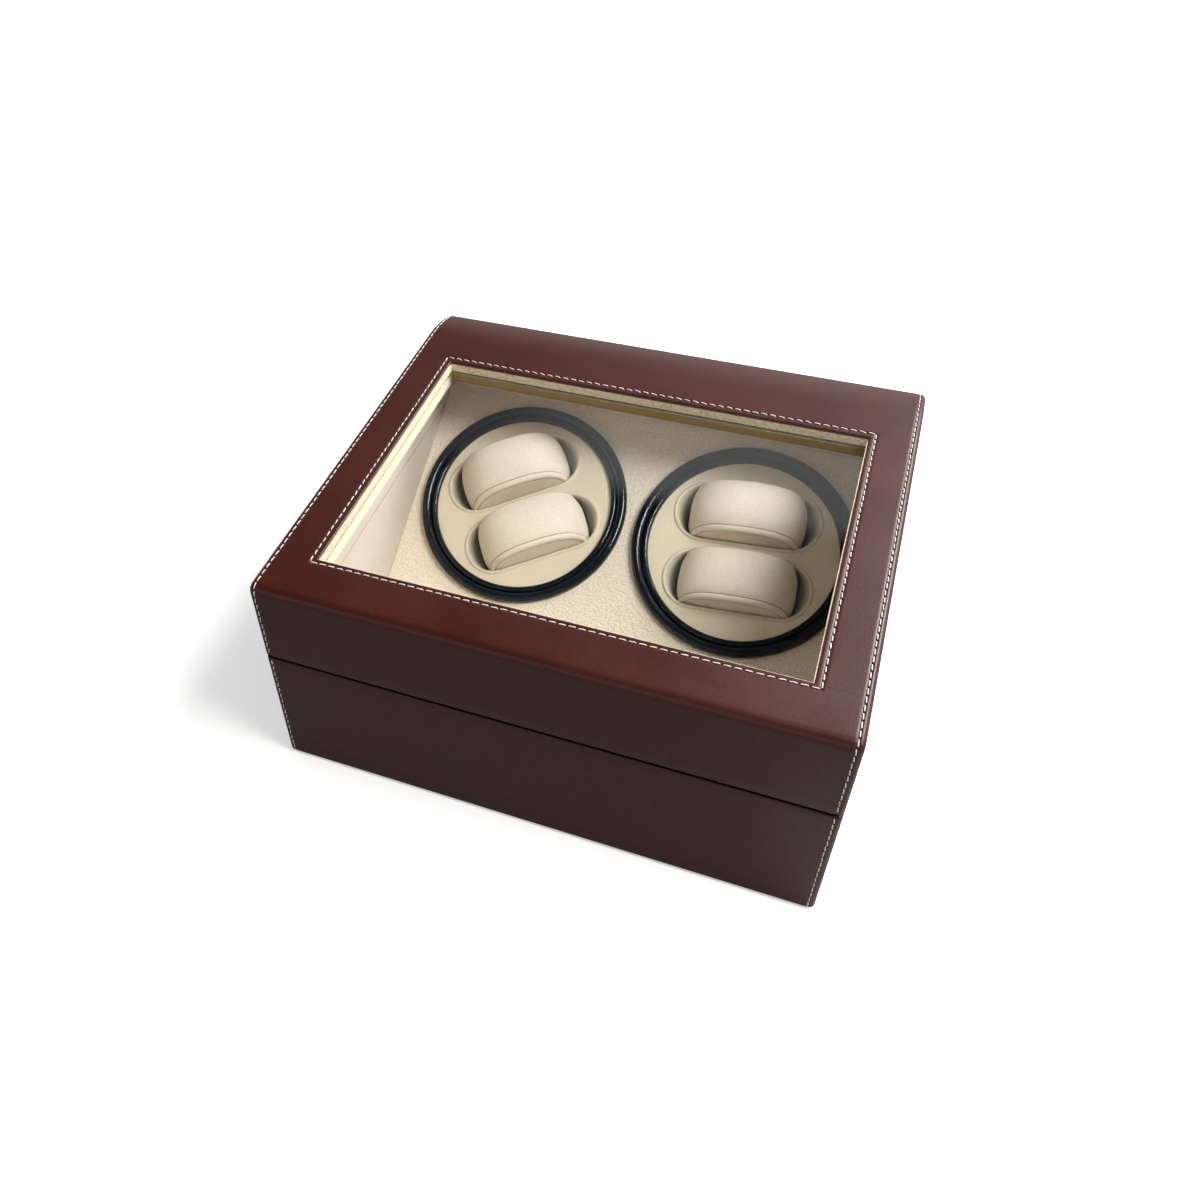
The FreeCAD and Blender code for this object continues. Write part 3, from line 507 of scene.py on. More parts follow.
# Raw pressed board: pale brown with short darker fibres.
def fibreboard():
    material, shader, place = newMaterial("fibreboard", specular=0.2)
    fibre = streaks(place, (300.0, 300.0, 1100.0), 4.0, 0.7)
    cloud = mapped(noise(place, 40.0, 3.0), 0.3, 0.7, 0.0, 0.3)
    colour = blendColours(fibre, (0.30, 0.19, 0.11, 1), (0.50, 0.36, 0.22, 1))
    colour = blendColours(cloud, colour, (0.36, 0.25, 0.15, 1))
    connect(shader, colour, mapped(fibre, 0.3, 0.7, 0.75, 0.9), bump(fibre, 0.0002, 0.4))
    return material


pocketColours = {
    "creamLow": (0.66, 0.57, 0.44, 1),
    "creamHigh": (0.76, 0.67, 0.53, 1),
    "taupe": (0.20, 0.185, 0.175, 1),
    "slateLow": (0.20, 0.205, 0.225, 1),
    "slateHigh": (0.27, 0.275, 0.295, 1),
    "toTaupe": (-4.6, 1.4),    # cream gives way to taupe between these heights on the disc, mm,
    "toSlate": (-9.0, -3.0),   # and taupe to slate between these
}


# The pocket's moulding: cream at the lip, running through taupe into dark slate down the wall; the
# darkening with depth is partly the moulding's own colour and partly painted shade.
def pocketShell():
    look = pocketColours
    material, shader, place = newMaterial("pocketShell", specular=0.5)
    cloud = noise(place, 60.0, 3.0)
    level = maths("MULTIPLY_ADD", cloud, 1.4, seamMap(place)[1])
    # darker with depth: partly the moulding's colour, partly painted shade in the pocket
    down = mapped(level, *look["toTaupe"], 1.0, 0.0, True)
    deep = mapped(level, *look["toSlate"], 1.0, 0.0, True)
    cream = blendColours(cloud, look["creamLow"], look["creamHigh"])
    slate = blendColours(cloud, look["slateLow"], look["slateHigh"])
    colour = blendColours(down, cream, blendColours(deep, look["taupe"], slate))
    normal = bump(cells(place, 1500.0, 0.4), 0.00006, 0.4)
    connect(shader, colour, mapped(down, 0.0, 1.0, 0.65, 0.38), normal)
    return material


# Twisted off-white sewing thread: a sine wave that runs aslant along each stitch, its grooves painted
# darker as shade.
def threadLook():
    material, shader, place = newMaterial("thread", specular=0.25, sheen=0.3, rough=0.75)
    along, around = seamMap(place)[:2]
    twist = maths("MULTIPLY_ADD", along, 44.0, maths("MULTIPLY", around, 2 * math.pi))
    twist = maths("SINE", twist)
    worn = noise(place, 90.0, 3.0)
    colour = blendColours(worn, (0.60, 0.535, 0.485, 1), (0.78, 0.725, 0.68, 1))
    # painted shade in the twist's grooves
    colour = shaded(colour, mapped(twist, -1.0, 1.0, 0.82, 1.0))
    connect(shader, colour, None, bump(twist, 0.00008, 0.6))
    return material


# Thin float glass; lamps reach through it, so that what lies under it is lit.
def clearGlass():
    material, shader, place = newMaterial("clearGlass", colour=(0.975, 0.99, 0.982, 1), rough=0.0,
                                          IOR=1.33, transmission=1.0)
    tree = material.node_tree
    smear = noise(place, 20.0, 4.0, 0.7)
    connect(shader, None, mapped(smear, 0.55, 0.8, 0.0, 0.03))
    through = addNode(tree, "BsdfTransparent", {"Color": (0.93, 0.95, 0.94, 1)})
    path = addNode(tree, "LightPath").outputs
    either = maths("MAXIMUM", path["Is Shadow Ray"], path["Is Diffuse Ray"])
    mix = addNode(tree, "MixShader", {0: either, 1: shader.outputs[0], 2: through.outputs[0]})
    tree.links.new(mix.outputs[0], tree.nodes["Material Output"].inputs[0])
    return material


deckLook = {"low": (0.84, 0.71, 0.575, 1), "high": (0.90, 0.78, 0.655, 1), "grain": 620.0,
            "depth": 0.0008, "creases": 0.88, "rough": 0.48, "shine": 0.4}
discLook = {"low": (0.76, 0.635, 0.485, 1), "high": (0.82, 0.705, 0.56, 1), "grain": 1000.0,
            "depth": 0.0002, "creases": 0.94, "rough": 0.5, "shine": 0.35}
liningLook = {"low": (0.56, 0.475, 0.40, 1), "high": (0.63, 0.54, 0.46, 1)}
edgingLook = {"low": (0.74, 0.61, 0.43, 1), "high": (0.84, 0.72, 0.54, 1), "thread": 1.7,
              "depth": 0.0005, "creases": 0.12, "sheen": 0.04, "foot": 0.1468, "head": 0.1528,
              "headBack": (0.078, 0.0795)}
cushionLook = {"low": (0.83, 0.72, 0.60, 1), "high": (0.91, 0.805, 0.69, 1), "crease": 0.7}
feltLook = {"low": (0.012, 0.012, 0.013, 1), "high": (0.028, 0.028, 0.030, 1)}

looks = {
    "leather": brownLeather(),
    "deckLeather": creamLeather("deckLeather", deckLook),
    "discLeather": creamLeather("discLeather", discLook),
    "lining": suede("liningVelvet", liningLook),
    "edging": cloth("wovenEdging", edgingLook),
    "frame": frameLook(),
    "cushion": suede("cushionSuede", cushionLook),
    "pocket": pocketShell(),
    "thread": threadLook(),
    "glass": clearGlass(),
    "board": fibreboard(),
    "felt": suede("blackFelt", feltLook),
}

gloss = {"specular": 0.3, "coat": 0.25, "coatRough": 0.05}

# name, plain values, darker and lighter colour, size of smears, roughness, dust, depth of specks
hardLooks = {
    "blackGloss": ("blackGloss", gloss, (0.003, 0.006, 0.011), (0.007, 0.011, 0.018),
                   45.0, 0.13, 0.03, 0.00001),
    "slate": ("slatePlastic", {"specular": 0.4}, (0.035, 0.038, 0.045), (0.055, 0.058, 0.066),
              60.0, 0.42, 0.03, 0.00003),
    "blackPlastic": ("blackPlastic", {"specular": 0.4}, (0.014, 0.014, 0.015), (0.024, 0.024, 0.025),
                     50.0, 0.38, 0.04, 0.00005),
    "nylon": ("nylon", {"specular": 0.4}, (0.66, 0.64, 0.58), (0.74, 0.72, 0.67),
              80.0, 0.4, 0.02, 0.00003),
    "rubber": ("rubberFeet", {"specular": 0.25}, (0.018, 0.018, 0.018), (0.03, 0.03, 0.03),
               70.0, 0.55, 0.08, 0.00008),
    "circuit": ("circuitBoard", {"specular": 0.5}, (0.012, 0.085, 0.035), (0.018, 0.12, 0.05),
                220.0, 0.32, 0.05, 0.00004),
    "lead": ("leadSleeve", {"specular": 0.4}, (0.22, 0.012, 0.010), (0.30, 0.02, 0.016),
             120.0, 0.36, 0.03, 0.00003),
}

# name, darker and lighter colour, how the streaks are stretched, roughness
metalLooks = {
    "steel": ("steel", (0.42, 0.42, 0.43), (0.58, 0.58, 0.58), (60.0, 900.0, 900.0), 0.26),
    "bronze": ("bronze", (0.42, 0.26, 0.11), (0.56, 0.38, 0.18), (300.0, 300.0, 900.0), 0.34),
    "hinge": ("hingePlating", (0.55, 0.39, 0.16), (0.72, 0.55, 0.27), (900.0, 60.0, 900.0), 0.22),
}
looks.update({key: polished(*values) for key, values in hardLooks.items()})
looks.update({key: brushed(*values) for key, values in metalLooks.items()})

nodeLooks = {
    "board": ("*_panel", "base_floor", "deck_board", "deck_cleats"),
    "lining": ("*_lining", "deck_apron", "back_ledge"),
    "frame": ("glass_frame",),
    "edging": ("window_edging",),
    "deckLeather": ("deck_skin",),
    "discLeather": ("disc_*",),
    "glass": ("glass_pane",),
    "blackGloss": ("bezel_*", "rim_ring_*"),
    "slate": ("drum_*",),
    "blackPlastic": ("bearing_stands", "control_plate", "dc_inlet", "switch_*", "mode_knob_*"),
    "nylon": ("ring_gear_*", "pinion_*"),
    "steel": ("shaft_*", "motor_*", "hinge_pins"),
    "bronze": ("bushes",),
    "hinge": ("hinge_base_*", "hinge_lid_*"),
    "rubber": ("feet",),
    "felt": ("underside_felt",),
    "circuit": ("control_board",),
    "lead": ("leads",),
}
for look, patterns in nodeLooks.items():
    for name in sum((fnmatch.filter(nodes, pattern) for pattern in patterns), []):
        for place in range(len(nodes[name].data.materials)):
            nodes[name].data.materials[place] = looks[look]
print("materials made")


# Leather strips with their stitched side edges

seamNear = np.array([-2.4, -1.6, -1.0, -0.6, -0.3, 0.0, 0.3, 0.6, 1.0, 1.6, 2.4])


def stitchCount(long):
    return round(long / stitching["pitch"])


def evenPitch(long):
    return long / stitchCount(long)


# How deep the thread pulls the leather in: a bell curve of the distance from the stitch line.
def groove(distance):
    return leatherEdge["groove"] * np.exp(-(distance / leatherEdge["grooveWidth"]) ** 2)


# A strip's cross-section, from one turned edge on a side face to the other. x runs out to the side;
# inward is how far the surface lies behind the box's flat face: the circle of the box's edge, and the
# groove; phi is the angle that it has turned towards the side; beside is the distance from the seam.
def crossSection(flat):
    e = leatherEdge
    start, seam = case["halfWidth"] - e["round"], case["halfWidth"] - e["seamIn"]
    curved = start + e["round"] * np.sin(np.radians(np.linspace(33, 90, 8)))
    x = np.concatenate([flat, seam + np.append(seamNear[:-2], 1.5), curved])
    over = np.clip(x - start, 0, e["round"])
    inward = e["round"] - np.sqrt(e["round"] ** 2 - over ** 2) + groove(x - seam)
    edge = np.array([(0, 0), (-0.1, 0.25), (-0.4, 0.35), (-1.2, 0.35)])
    x = np.append(x, case["halfWidth"] + edge[:, 0])
    half = {
        "inward": np.append(inward, e["overlap"] + edge[:, 1]),
        "phi": np.append(np.arcsin(over / e["round"]), np.full(len(edge), quarter)),
        "beside": x - seam,
    }
    lines = {key: np.append(line[:0:-1], line) for key, line in half.items()}
    lines["x"] = np.append(-x[:0:-1], x)
    return lines


# Points of a strip: each row is a place on the outline with its outward normal, each column a line of
# the cross-section. e draws a rim's rows in from the face, round the corners, to a mitre.
def stripGrid(lines, y, z, ny, nz, e):
    e = e[:, None]
    ahead = np.minimum(e, leatherEdge["round"])
    x = np.minimum(np.abs(lines["x"]) - ahead * np.sin(lines["phi"]), case["halfWidth"] - e)
    inward = np.maximum(lines["inward"] + ahead * np.cos(lines["phi"]), e)
    return np.stack([np.sign(lines["x"]) * x, y[:, None] - ny[:, None] * inward,
                     z[:, None] - nz[:, None] * inward], axis=-1)


# Rows of a rounded rim seen in section: how far in (e) and how high, from inside to the face.
def lipRows(z, direction, depth):
    r = case["lip"]
    angle = np.radians(np.linspace(0, 90, 6))
    e = np.append(np.linspace(depth, r + 1.0, 3), r * (1 - np.sin(angle)))
    height = np.append(np.zeros(3), r * (1 - np.cos(angle)))
    return e, z + direction * height


# The lid's outline in section: face, fold, flat top, long bend, fold, face. Gives the way along it,
# and for each point y, z and the angle of its outward normal from upright.
def lidOutline():
    fold, radius, front, back, high = (case[k] for k in ("fold", "slopeRadius", "front", "back", "lidTop"))
    low = case["lidBottom"] + case["lip"]
    backFold, centre = back - fold, high - radius
    foldLow = centre + math.sqrt((radius - fold) ** 2 - (backFold - bend) ** 2)
    lean = math.atan2(backFold - bend, foldLow - centre)

    def straight(start, end, angle, count):
        return np.column_stack([np.linspace(start, end, count), np.full(count, angle)])

    def rounded(middle, size, start, end, count):
        angle = np.linspace(start, end, count)
        return np.column_stack([middle[0] + size * np.sin(angle), middle[1] + size * np.cos(angle), angle])

    line = np.concatenate([
        straight((front, low), (front, high - fold), -quarter, 40),
        rounded((front + fold, high - fold), fold, -quarter, 0, 40),
        straight((front + fold, high), (bend, high), 0, 60),
        rounded((bend, centre), radius, 0, lean, 60),
        rounded((backFold, foldLow), fold, lean, quarter, 40),
        straight((back, foldLow), (back, low), quarter, 40),
    ])
    line = line[np.append(True, np.diff(wayAlong(line[:, :2])) > 1e-6)]
    return wayAlong(line[:, :2]), line


lidWay, lidLine = lidOutline()
topStart = lidWay[np.argmax(lidLine[:, 2] > -1e-9)]


def lidAt(way):
    y, z, angle = (np.interp(way, lidWay, lidLine[:, k]) for k in range(3))
    return y, z, np.sin(angle), np.cos(angle)


def topWay(y):
    return topStart + y - (case["front"] + case["fold"])


# Signed distance from the window's stitch line, which is a rectangle.
def windowDistance(x, y):
    middle = (window["seamFront"] + window["seamBack"]) / 2
    half = (window["seamBack"] - window["seamFront"]) / 2
    return np.maximum(np.abs(x) - window["seamX"], np.abs(y - middle) - half)


# How far the flat top is drawn down: the window's stitch groove and gentle unevenness.
def topSink(x, y):
    return groove(windowDistance(x, y)) + waves(x, y, *ripples["lidTop"])


# The leather over the lid's front, top and back, with the window's opening rolled inwards.
def makeLidStrip():
    roll, seamFront, seamBack = window["roll"], window["seamFront"], window["seamBack"]
    hole = window["halfX"] + roll, window["front"] - roll, window["back"] + roll
    lines = crossSection(np.concatenate([
        np.linspace(0, 130, 20), hole[:1], window["seamX"] + seamNear, [147.5, 151.5, 155.5]]))
    flatY = np.concatenate([
        np.linspace(case["front"] + case["fold"] + 4, seamFront - 4, 4), seamFront - seamNear[::-1],
        [hole[1]], np.linspace(hole[1] + 6, hole[2] - 6, 28), [hole[2]],
        seamBack + seamNear, np.linspace(seamBack + 6, bend - 3, 4)])
    foldStart = topStart - case["fold"] * quarter
    lastFold = lidWay[np.argmax(lidLine[:, 2] >= quarter - 1e-9)]
    way = np.concatenate([np.linspace(0, foldStart - 1.5, 9), np.linspace(foldStart, topStart, 11),
                          topWay(flatY), np.linspace(topWay(bend), lidWay[-1] - 50, 12)])
    way = np.concatenate([way[way < lastFold - 7.0], np.linspace(lastFold - 6.5, lastFold, 10),
                          np.linspace(lastFold + 2, lidWay[-1], 8)])
    y, z, ny, nz = lidAt(way)
    lipE, lipZ = (rows[:-1] for rows in lipRows(case["lidBottom"], 1, case["rim"]))
    ends = np.ones(len(lipE))
    y = np.concatenate([case["front"] * ends, y, case["back"] * ends])
    z = np.concatenate([lipZ, z, lipZ[::-1]])
    ny = np.concatenate([-ends, ny, ends])
    nz = np.concatenate([0 * ends, nz, 0 * ends])
    e = np.concatenate([lipE, 0 * way, lipE[::-1]])
    way = np.concatenate([0 * ends, way, lidWay[-1] * ends])
    grid = stripGrid(lines, y, z, ny, nz, e)
    gridX, gridY = grid[..., 0], grid[..., 1]
    flatTop = (nz > 0.99999) & (y > case["front"] + 10)
    fade = np.clip((bend - gridY) / 12, 0, 1) * np.clip((gridY - case["front"] - 8) / 12, 0, 1)
    grid[..., 2] -= np.where(flatTop[:, None], topSink(gridX, gridY), 0) * fade
    middle = (grid[:-1, :-1] + grid[1:, 1:]) / 2
    cut = (flatTop[:-1] & flatTop[1:])[:, None] & (np.abs(middle[..., 0]) < hole[0])
    cut &= (middle[..., 1] > hole[1]) & (middle[..., 1] < hole[2])
    pitch = evenPitch(lidWay[-1] - 2 * stitchEnd)
    strip = patch(grid, pairs((way - stitchEnd) / pitch, lines["beside"]), keep=~cut)
    markWindowSeam(strip)
    opening = rollIn(lines["x"], flatY, hole)
    return [turned(strip, (0, 0, 60)), turned(opening, (0, -20, 160), away=False)]


# Gives the faces along the window's stitch line that line's own seam map.
def markWindowSeam(strip):
    points = strip["points"][strip["faces"]]
    x, y, z = points.mean(axis=1).T
    halfX, front, back = window["seamX"], window["seamFront"], window["seamBack"]
    flat = np.abs(z - case["lidTop"]) < 0.8
    near = flat & (np.abs(windowDistance(x, y)) < 2.4)
    onEnds = np.abs(y - (front + back) / 2) - (back - front) / 2 > np.abs(x) - halfX
    u = np.where(onEnds[:, None], (points[..., 0] + halfX) / evenPitch(2 * halfX),
                 (points[..., 1] - front) / evenPitch(back - front))
    v = windowDistance(points[..., 0], points[..., 1])
    strip["uv"][near] = np.stack([u, v], axis=-1)[near]
    strip["uv"][flat & ~near & (np.abs(x) < case["halfWidth"] - 6.5)] = noSeam


# The points of a closed rectangle, on the same lines as the grid that it was cut from.
def rectangleLoop(xLines, yLines, half, low, high):
    x = np.sort(xLines[np.abs(xLines) <= half + 1e-6])
    y = np.sort(yLines[(yLines >= low - 1e-6) & (yLines <= high + 1e-6)])
    edges = [(x, low + 0 * x), (half + 0 * y, y), (x[::-1], high + 0 * x), (0 * y - half, y[::-1])]
    return np.concatenate([np.column_stack(edge)[:-1] for edge in edges])


# The rectangle's points, drawn in on every side.
def drawnIn(loop, inset, half, low, high):
    return np.clip(loop[:, 0], inset - half, half - inset), np.clip(loop[:, 1], low + inset, high - inset)


# The leather's rolled edge round the window: each ring is the rectangle drawn in, and lower.
def rollIn(xLines, yLines, hole):
    section = [(0, 0), (0.35, -0.04), (0.68, -0.16), (0.96, -0.38), (1.16, -0.68), (1.27, -1.02),
               (1.26, -1.3), (1.05, -1.5), (0.6, -1.56)]
    loop = rectangleLoop(xLines, yLines, *hole)
    level = case["lidTop"] - topSink(loop[:, 0], loop[:, 1])
    rings = [np.column_stack([*drawnIn(loop, inset, *hole), level + lower]) for inset, lower in section]
    return patch(np.stack(rings), closeCols=True)


# The leather on one side: a gently waving face, its rows drawn in by e at the rims.
def makeSide(part, side, y, z, e):
    reach = np.maximum(leatherEdge["round"], e) - leatherEdge["sideLap"]
    y = np.clip(np.broadcast_to(y, z.shape), case["front"] + reach, case["back"] - reach)
    sunk = np.where(e > 0, e, 0.1 - waves(y, z, *ripples[part + "Side"]))
    x = case["halfWidth"] - leatherEdge["sideSet"] - sunk
    panel = turned(patch(np.stack([sides[side] * x, y, z], axis=-1)), (0, 0, 60))
    makePiece("%s_leather_%s" % (part, side), [panel], part, "leather")


# The side's top follows the lid's outline, and its rows spread evenly from there down to the rim.
def makeLid():
    makePiece("lid_leather", makeLidStrip(), "lid", "leather", ["lid_wrap"])
    line = lidLine[np.abs(lidLine[:, 2]) < quarter - 1e-6]
    y, high, angle = line[np.unique(np.linspace(0, len(line) - 1, 70).astype(int))].T
    y = y - np.sin(angle) * leatherEdge["sideIn"]
    high = high - np.cos(angle) * leatherEdge["sideIn"]
    e, rim = lipRows(case["lidBottom"], 1, case["rim"])
    share = np.linspace(0, 1, 12)[1:, None]
    z = np.concatenate([np.repeat(rim[:, None], len(y), axis=1), rim[-1] + (high - rim[-1]) * share])
    for side in sides:
        makeSide("lid", side, y, z, np.append(e, 0 * share)[:, None])


recessHole = (recess["halfX"] + recess["roll"], recess["low"] - recess["roll"],
              recess["high"] + recess["roll"])


# A wall's rows from the inner rim over the top edge, down past the recess, and round the bottom edge.
def baseRows():
    topE, topZ = lipRows(case["baseTop"], -1, case["rim"])
    lowE, lowZ = lipRows(case["bottom"], 1, case["under"])
    wall = np.linspace(case["baseTop"] - case["lip"], case["bottom"] + case["lip"], 14)[1:-1]
    low, high = recessHole[1:]
    wall = wall[(wall < low - 2) | (wall > high + 2)]
    wall = np.sort(np.append(wall, np.linspace(low, high, 5)))[::-1]
    return np.concatenate([topE, 0 * wall, lowE[::-1]]), np.concatenate([topZ, wall, lowZ[::-1]])


# The leather on the base's front or back. At the back its edge turns in round the recess and lines it.
def makeBaseStrip(face):
    lines = crossSection(np.concatenate([np.linspace(0, 56, 8), recessHole[:1], np.linspace(70, 154, 11)]))
    e, z = baseRows()
    ny = np.full(len(z), -1.0 if face == "front" else 1.0)
    grid = stripGrid(lines, case[face] + 0 * z, z, ny, 0 * z, e)
    high = case["baseTop"] - stitchEnd
    pitch = evenPitch(high - (case["bottom"] + stitchEnd))
    uv = pairs((high - z) / pitch, lines["beside"])
    if face == "front":
        return [turned(patch(grid, uv), (0, 0, 50))]
    middle = (grid[:-1, :-1] + grid[1:, 1:]) / 2
    half, low, high = recessHole
    cut = ((e[:-1] == 0) & (e[1:] == 0))[:, None] & (np.abs(middle[..., 0]) < half)
    cut &= (middle[..., 2] > low) & (middle[..., 2] < high)
    loop = rectangleLoop(lines["x"], z[e == 0], *recessHole)
    rings = []
    for inset, inside in ((0, 0), (0.35, 0.07), (0.65, 0.28), (0.86, 0.6), (0.9, 1.0), (0.9, 3.5),
                          (0.9, recess["deep"])):
        x, height = drawnIn(loop, inset, *recessHole)
        rings.append(np.column_stack([x, case["back"] - inside + 0 * x, height]))
    roll = turned(patch(np.stack(rings), closeCols=True), (0, case["back"] + 5, 27.5), away=False)
    return [roll, turned(patch(grid, uv, keep=~cut), (0, 0, 50))]


def makeBase():
    makePiece("base_leather_front", makeBaseStrip("front"), "base", "leather", ["base_wrap"])
    makePiece("base_leather_back", makeBaseStrip("back"), "base", "leather")
    e, z = (rows[:, None] for rows in baseRows())
    y = np.linspace(case["front"] + leatherEdge["sideIn"], case["back"] - leatherEdge["sideIn"], 44)
    for side in sides:
        makeSide("base", side, y, np.repeat(z, len(y), axis=1), e)


# Stitches

# A row of stitches along a line that points and normals give densely: each thread rises from one needle
# hole, lies a little aslant and dips into the next. Its height falls off with the fifth power of the way
# from its middle, and its width as the root of one less the tenth power.
def stitchRow(points, normals, count, seed, sense):
    s = stitching
    pick = np.random.default_rng(seed)
    way = wayAlong(points)
    share = np.linspace(-1, 1, s["rows"])
    pitch = way[-1] / count
    place = (np.arange(count)[:, None] + 0.5 + share * s["reach"]) * pitch

    def follow(values):
        return np.stack([np.interp(place, way, values[:, k]) for k in range(3)], axis=-1)

    def uneven(amount):
        return pick.normal(0, amount, (count, 1))

    centre, up = follow(points), unit(follow(normals))
    across = np.cross(up, unit(np.gradient(centre, axis=1)))
    lift = uneven(s["riseVaries"]) + s["rise"] - (s["rise"] + s["dip"]) * np.abs(share) ** 5
    lean = (s["slant"] + uneven(s["slantVaries"])) * share * sense
    aside = lean + uneven(s["wander"])
    centre = centre + up * lift[..., None] + across * aside[..., None]
    width = s["thread"] * np.sqrt(np.clip(1 - np.abs(share) ** 10, 0, 1))
    angle = np.linspace(0, 2 * np.pi, s["around"], endpoint=False)[:, None]
    ring = up[:, :, None] * np.sin(angle) * s["flat"] + across[:, :, None] * np.cos(angle)
    grid = centre[:, :, None] + ring * width[:, None, None]
    one = patch(grid[0], pairs((share + 1) / 2, np.linspace(0, 1, s["around"] + 1)), closeCols=True)
    starts = np.arange(count) * len(one["points"])
    faces = (one["faces"] + starts[:, None, None]).reshape(-1, 4)
    return {"points": grid.reshape(-1, 3), "faces": faces, "uv": np.tile(one["uv"], (count, 1, 1))}


def lineBetween(start, end, normal, count=60):
    return np.linspace(start, end, count), np.tile(normal, (count, 1)).astype(float)


def makeStitches():
    s = stitching
    seamX = case["halfWidth"] - leatherEdge["seamIn"]
    y, z, ny, nz = lidAt(np.linspace(stitchEnd, lidWay[-1] - stitchEnd, 1500))
    count = stitchCount(lidWay[-1] - 2 * stitchEnd)
    rows = []
    for way, seed in ((-1, 11), (1, 12)):
        points = np.column_stack([way * seamX + 0 * y, y, z])
        normals = np.column_stack([way * s["outward"] + 0 * y, ny, nz])
        rows.append(stitchRow(points, normals, count, seed, way))
    x, front, back, high = window["seamX"], window["seamFront"], window["seamBack"], case["lidTop"]
    corners = np.array([(-x, front, high), (x, front, high), (x, back, high), (-x, back, high)])
    for number, (start, end) in enumerate(zip(corners, np.roll(corners, -1, axis=0))):
        points, normals = lineBetween(start, end, (0, 0, 1), 200)
        points[:, 2] -= waves(points[:, 0], points[:, 1], *ripples["lidTop"])
        sense = s["backSlant"] / s["slant"] if number == 2 else 1.0
        rows.append(stitchRow(points, normals, stitchCount(np.linalg.norm(end - start)), 20 + number, sense))
    makePiece("lid_stitches", rows, "lid", "thread", sharp=180.0)
    rows = []
    high, low = case["baseTop"] - stitchEnd, case["bottom"] + stitchEnd
    for y, ny in ((case["front"], -1), (case["back"], 1)):
        for way in (-1, 1):
            ends = (way * seamX, y, high), (way * seamX, y, low)
            points, normals = lineBetween(*ends, (way * s["outward"], ny, 0))
            rows.append(stitchRow(points, normals, stitchCount(high - low), 31 + way + ny, way))
    makePiece("base_stitches", rows, "base", "thread", sharp=180.0)


makeLid()
makeBase()
makeStitches()
print("leather and stitches made")


# Turntables

# Points drawn round a turntable's axis, turned on it, leaned with the deck and moved there.
def onDeck(points, side, turn=0.0):
    u, v, w = points[..., 0], points[..., 1], points[..., 2]
    a, b = u * math.cos(turn) - v * math.sin(turn), u * math.sin(turn) + v * math.cos(turn)
    sine, cosine = math.sin(deck["tilt"]), math.cos(deck["tilt"])
    x, y, z = deck["centre"]
    return np.stack([sides[side] * x + a, y + b * cosine - w * sine, z + b * sine + w * cosine], axis=-1)


ring = {
    "bore": 61.673,
    "rim": 65.673,
    "bezelBore": 66.173,
    "bezel": 72.773,
    "skirt": 68.2,
    "low": -6.0,
    "rimLow": -1.0,
    "rimTop": 4.0,
    "bezelTop": 5.5,
}


# A ring's closed section: straight sides under a half circle, with a thinner skirt if seated.
def roundedRing(bore, outer, low, high, seat=None):
    radius = (outer - bore) / 2
    angle = np.linspace(0, np.pi, 25)
    crown = np.column_stack([(bore + outer) / 2 - radius * np.cos(angle),
                             high - radius + radius * np.sin(angle)])
    foot = [(outer, low)] if seat is None else [(outer, seat), (ring["skirt"], seat), (ring["skirt"], low)]
    return np.concatenate([[(bore, low), (bore, (low + high) / 2)], crown, foot])


# Both polished rings of a turntable: the fixed bezel and the rim that turns within it.
def makeRings():
    angle = np.linspace(0, 2 * np.pi, 240, endpoint=False)
    bezel = roundedRing(ring["bezelBore"], ring["bezel"], ring["low"], ring["bezelTop"], 0.0)
    rim = roundedRing(ring["bore"], ring["rim"], ring["rimLow"], ring["rimTop"])
    for side in sides:
        for name, section, body in (("bezel", bezel, "base"), ("rim_ring", rim, "turntable_" + side)):
            r, w = section.T[:, :, None]
            grid = np.stack([r * np.cos(angle), r * np.sin(angle), w + 0 * angle], axis=-1)
            made = turned(patch(onDeck(grid, side), closeRows=True, closeCols=True), (0, 0, 0))
            makePiece("%s_%s_polish" % (name, side), [made], body, "blackGloss",
                      ["%s_%s" % (name, side)], sharp=40.0)


# Places in a pocket's section are how far out from its wall, and the height above the disc
pocket = {
    "straight": 27.5,
    "radius": 19.0,
    "pitch": 47.0,
    "depth": 32.35,
    "corner": 12.4,
    "inset": 0.15,
    "bead": ((2.75, 0.9), (2.5, 1.02), (2.25, 1.14), (2.0, 1.4), (1.72, 1.7), (1.4, 1.9), (1.0, 2.0),
             (0.6, 1.94), (0.25, 1.72), (0.02, 1.4), (-0.1, 1.0)),
    "wall": (0.4, -0.6, -2, -4, -6, -8.5, -11, -14, -17, -19),
    "floor": (-14.5, -16.5, -18.2, -19.0),
    "bowAt": (-22.0, -17.0, -14.0, -11.0, -8.0, -6.0, -4.0, -2.0, 0.0),
    "bow": (11.6, 9.8, 8.4, 7.6, 6.6, 5.3, 3.7, 1.8, 0.0),   # each end wall leans in so far there
}


# A ring of the pocket: a round-ended slot, two straight sides joined by two half circles. The wall
# leans in by the bow times the outward direction's part along the slot, to the power 1.5.
def slotLoop(radius, bow):
    straight, along, around = pocket["straight"], 12, 26
    x = np.linspace(-straight, straight, along, endpoint=False)
    angle = np.linspace(-quarter, quarter, around, endpoint=False)
    zero, one, end = np.zeros(along), np.ones(along), np.full(around, straight)
    outX = np.concatenate([zero, np.cos(angle), zero, -np.cos(angle)])
    outY = np.concatenate([-one, np.sin(angle), one, -np.sin(angle)])
    lean = np.sign(outX) * np.abs(outX) ** 1.5 * bow
    return np.column_stack([np.concatenate([x, end, -x, -end]) + radius * outX - lean, radius * outY])


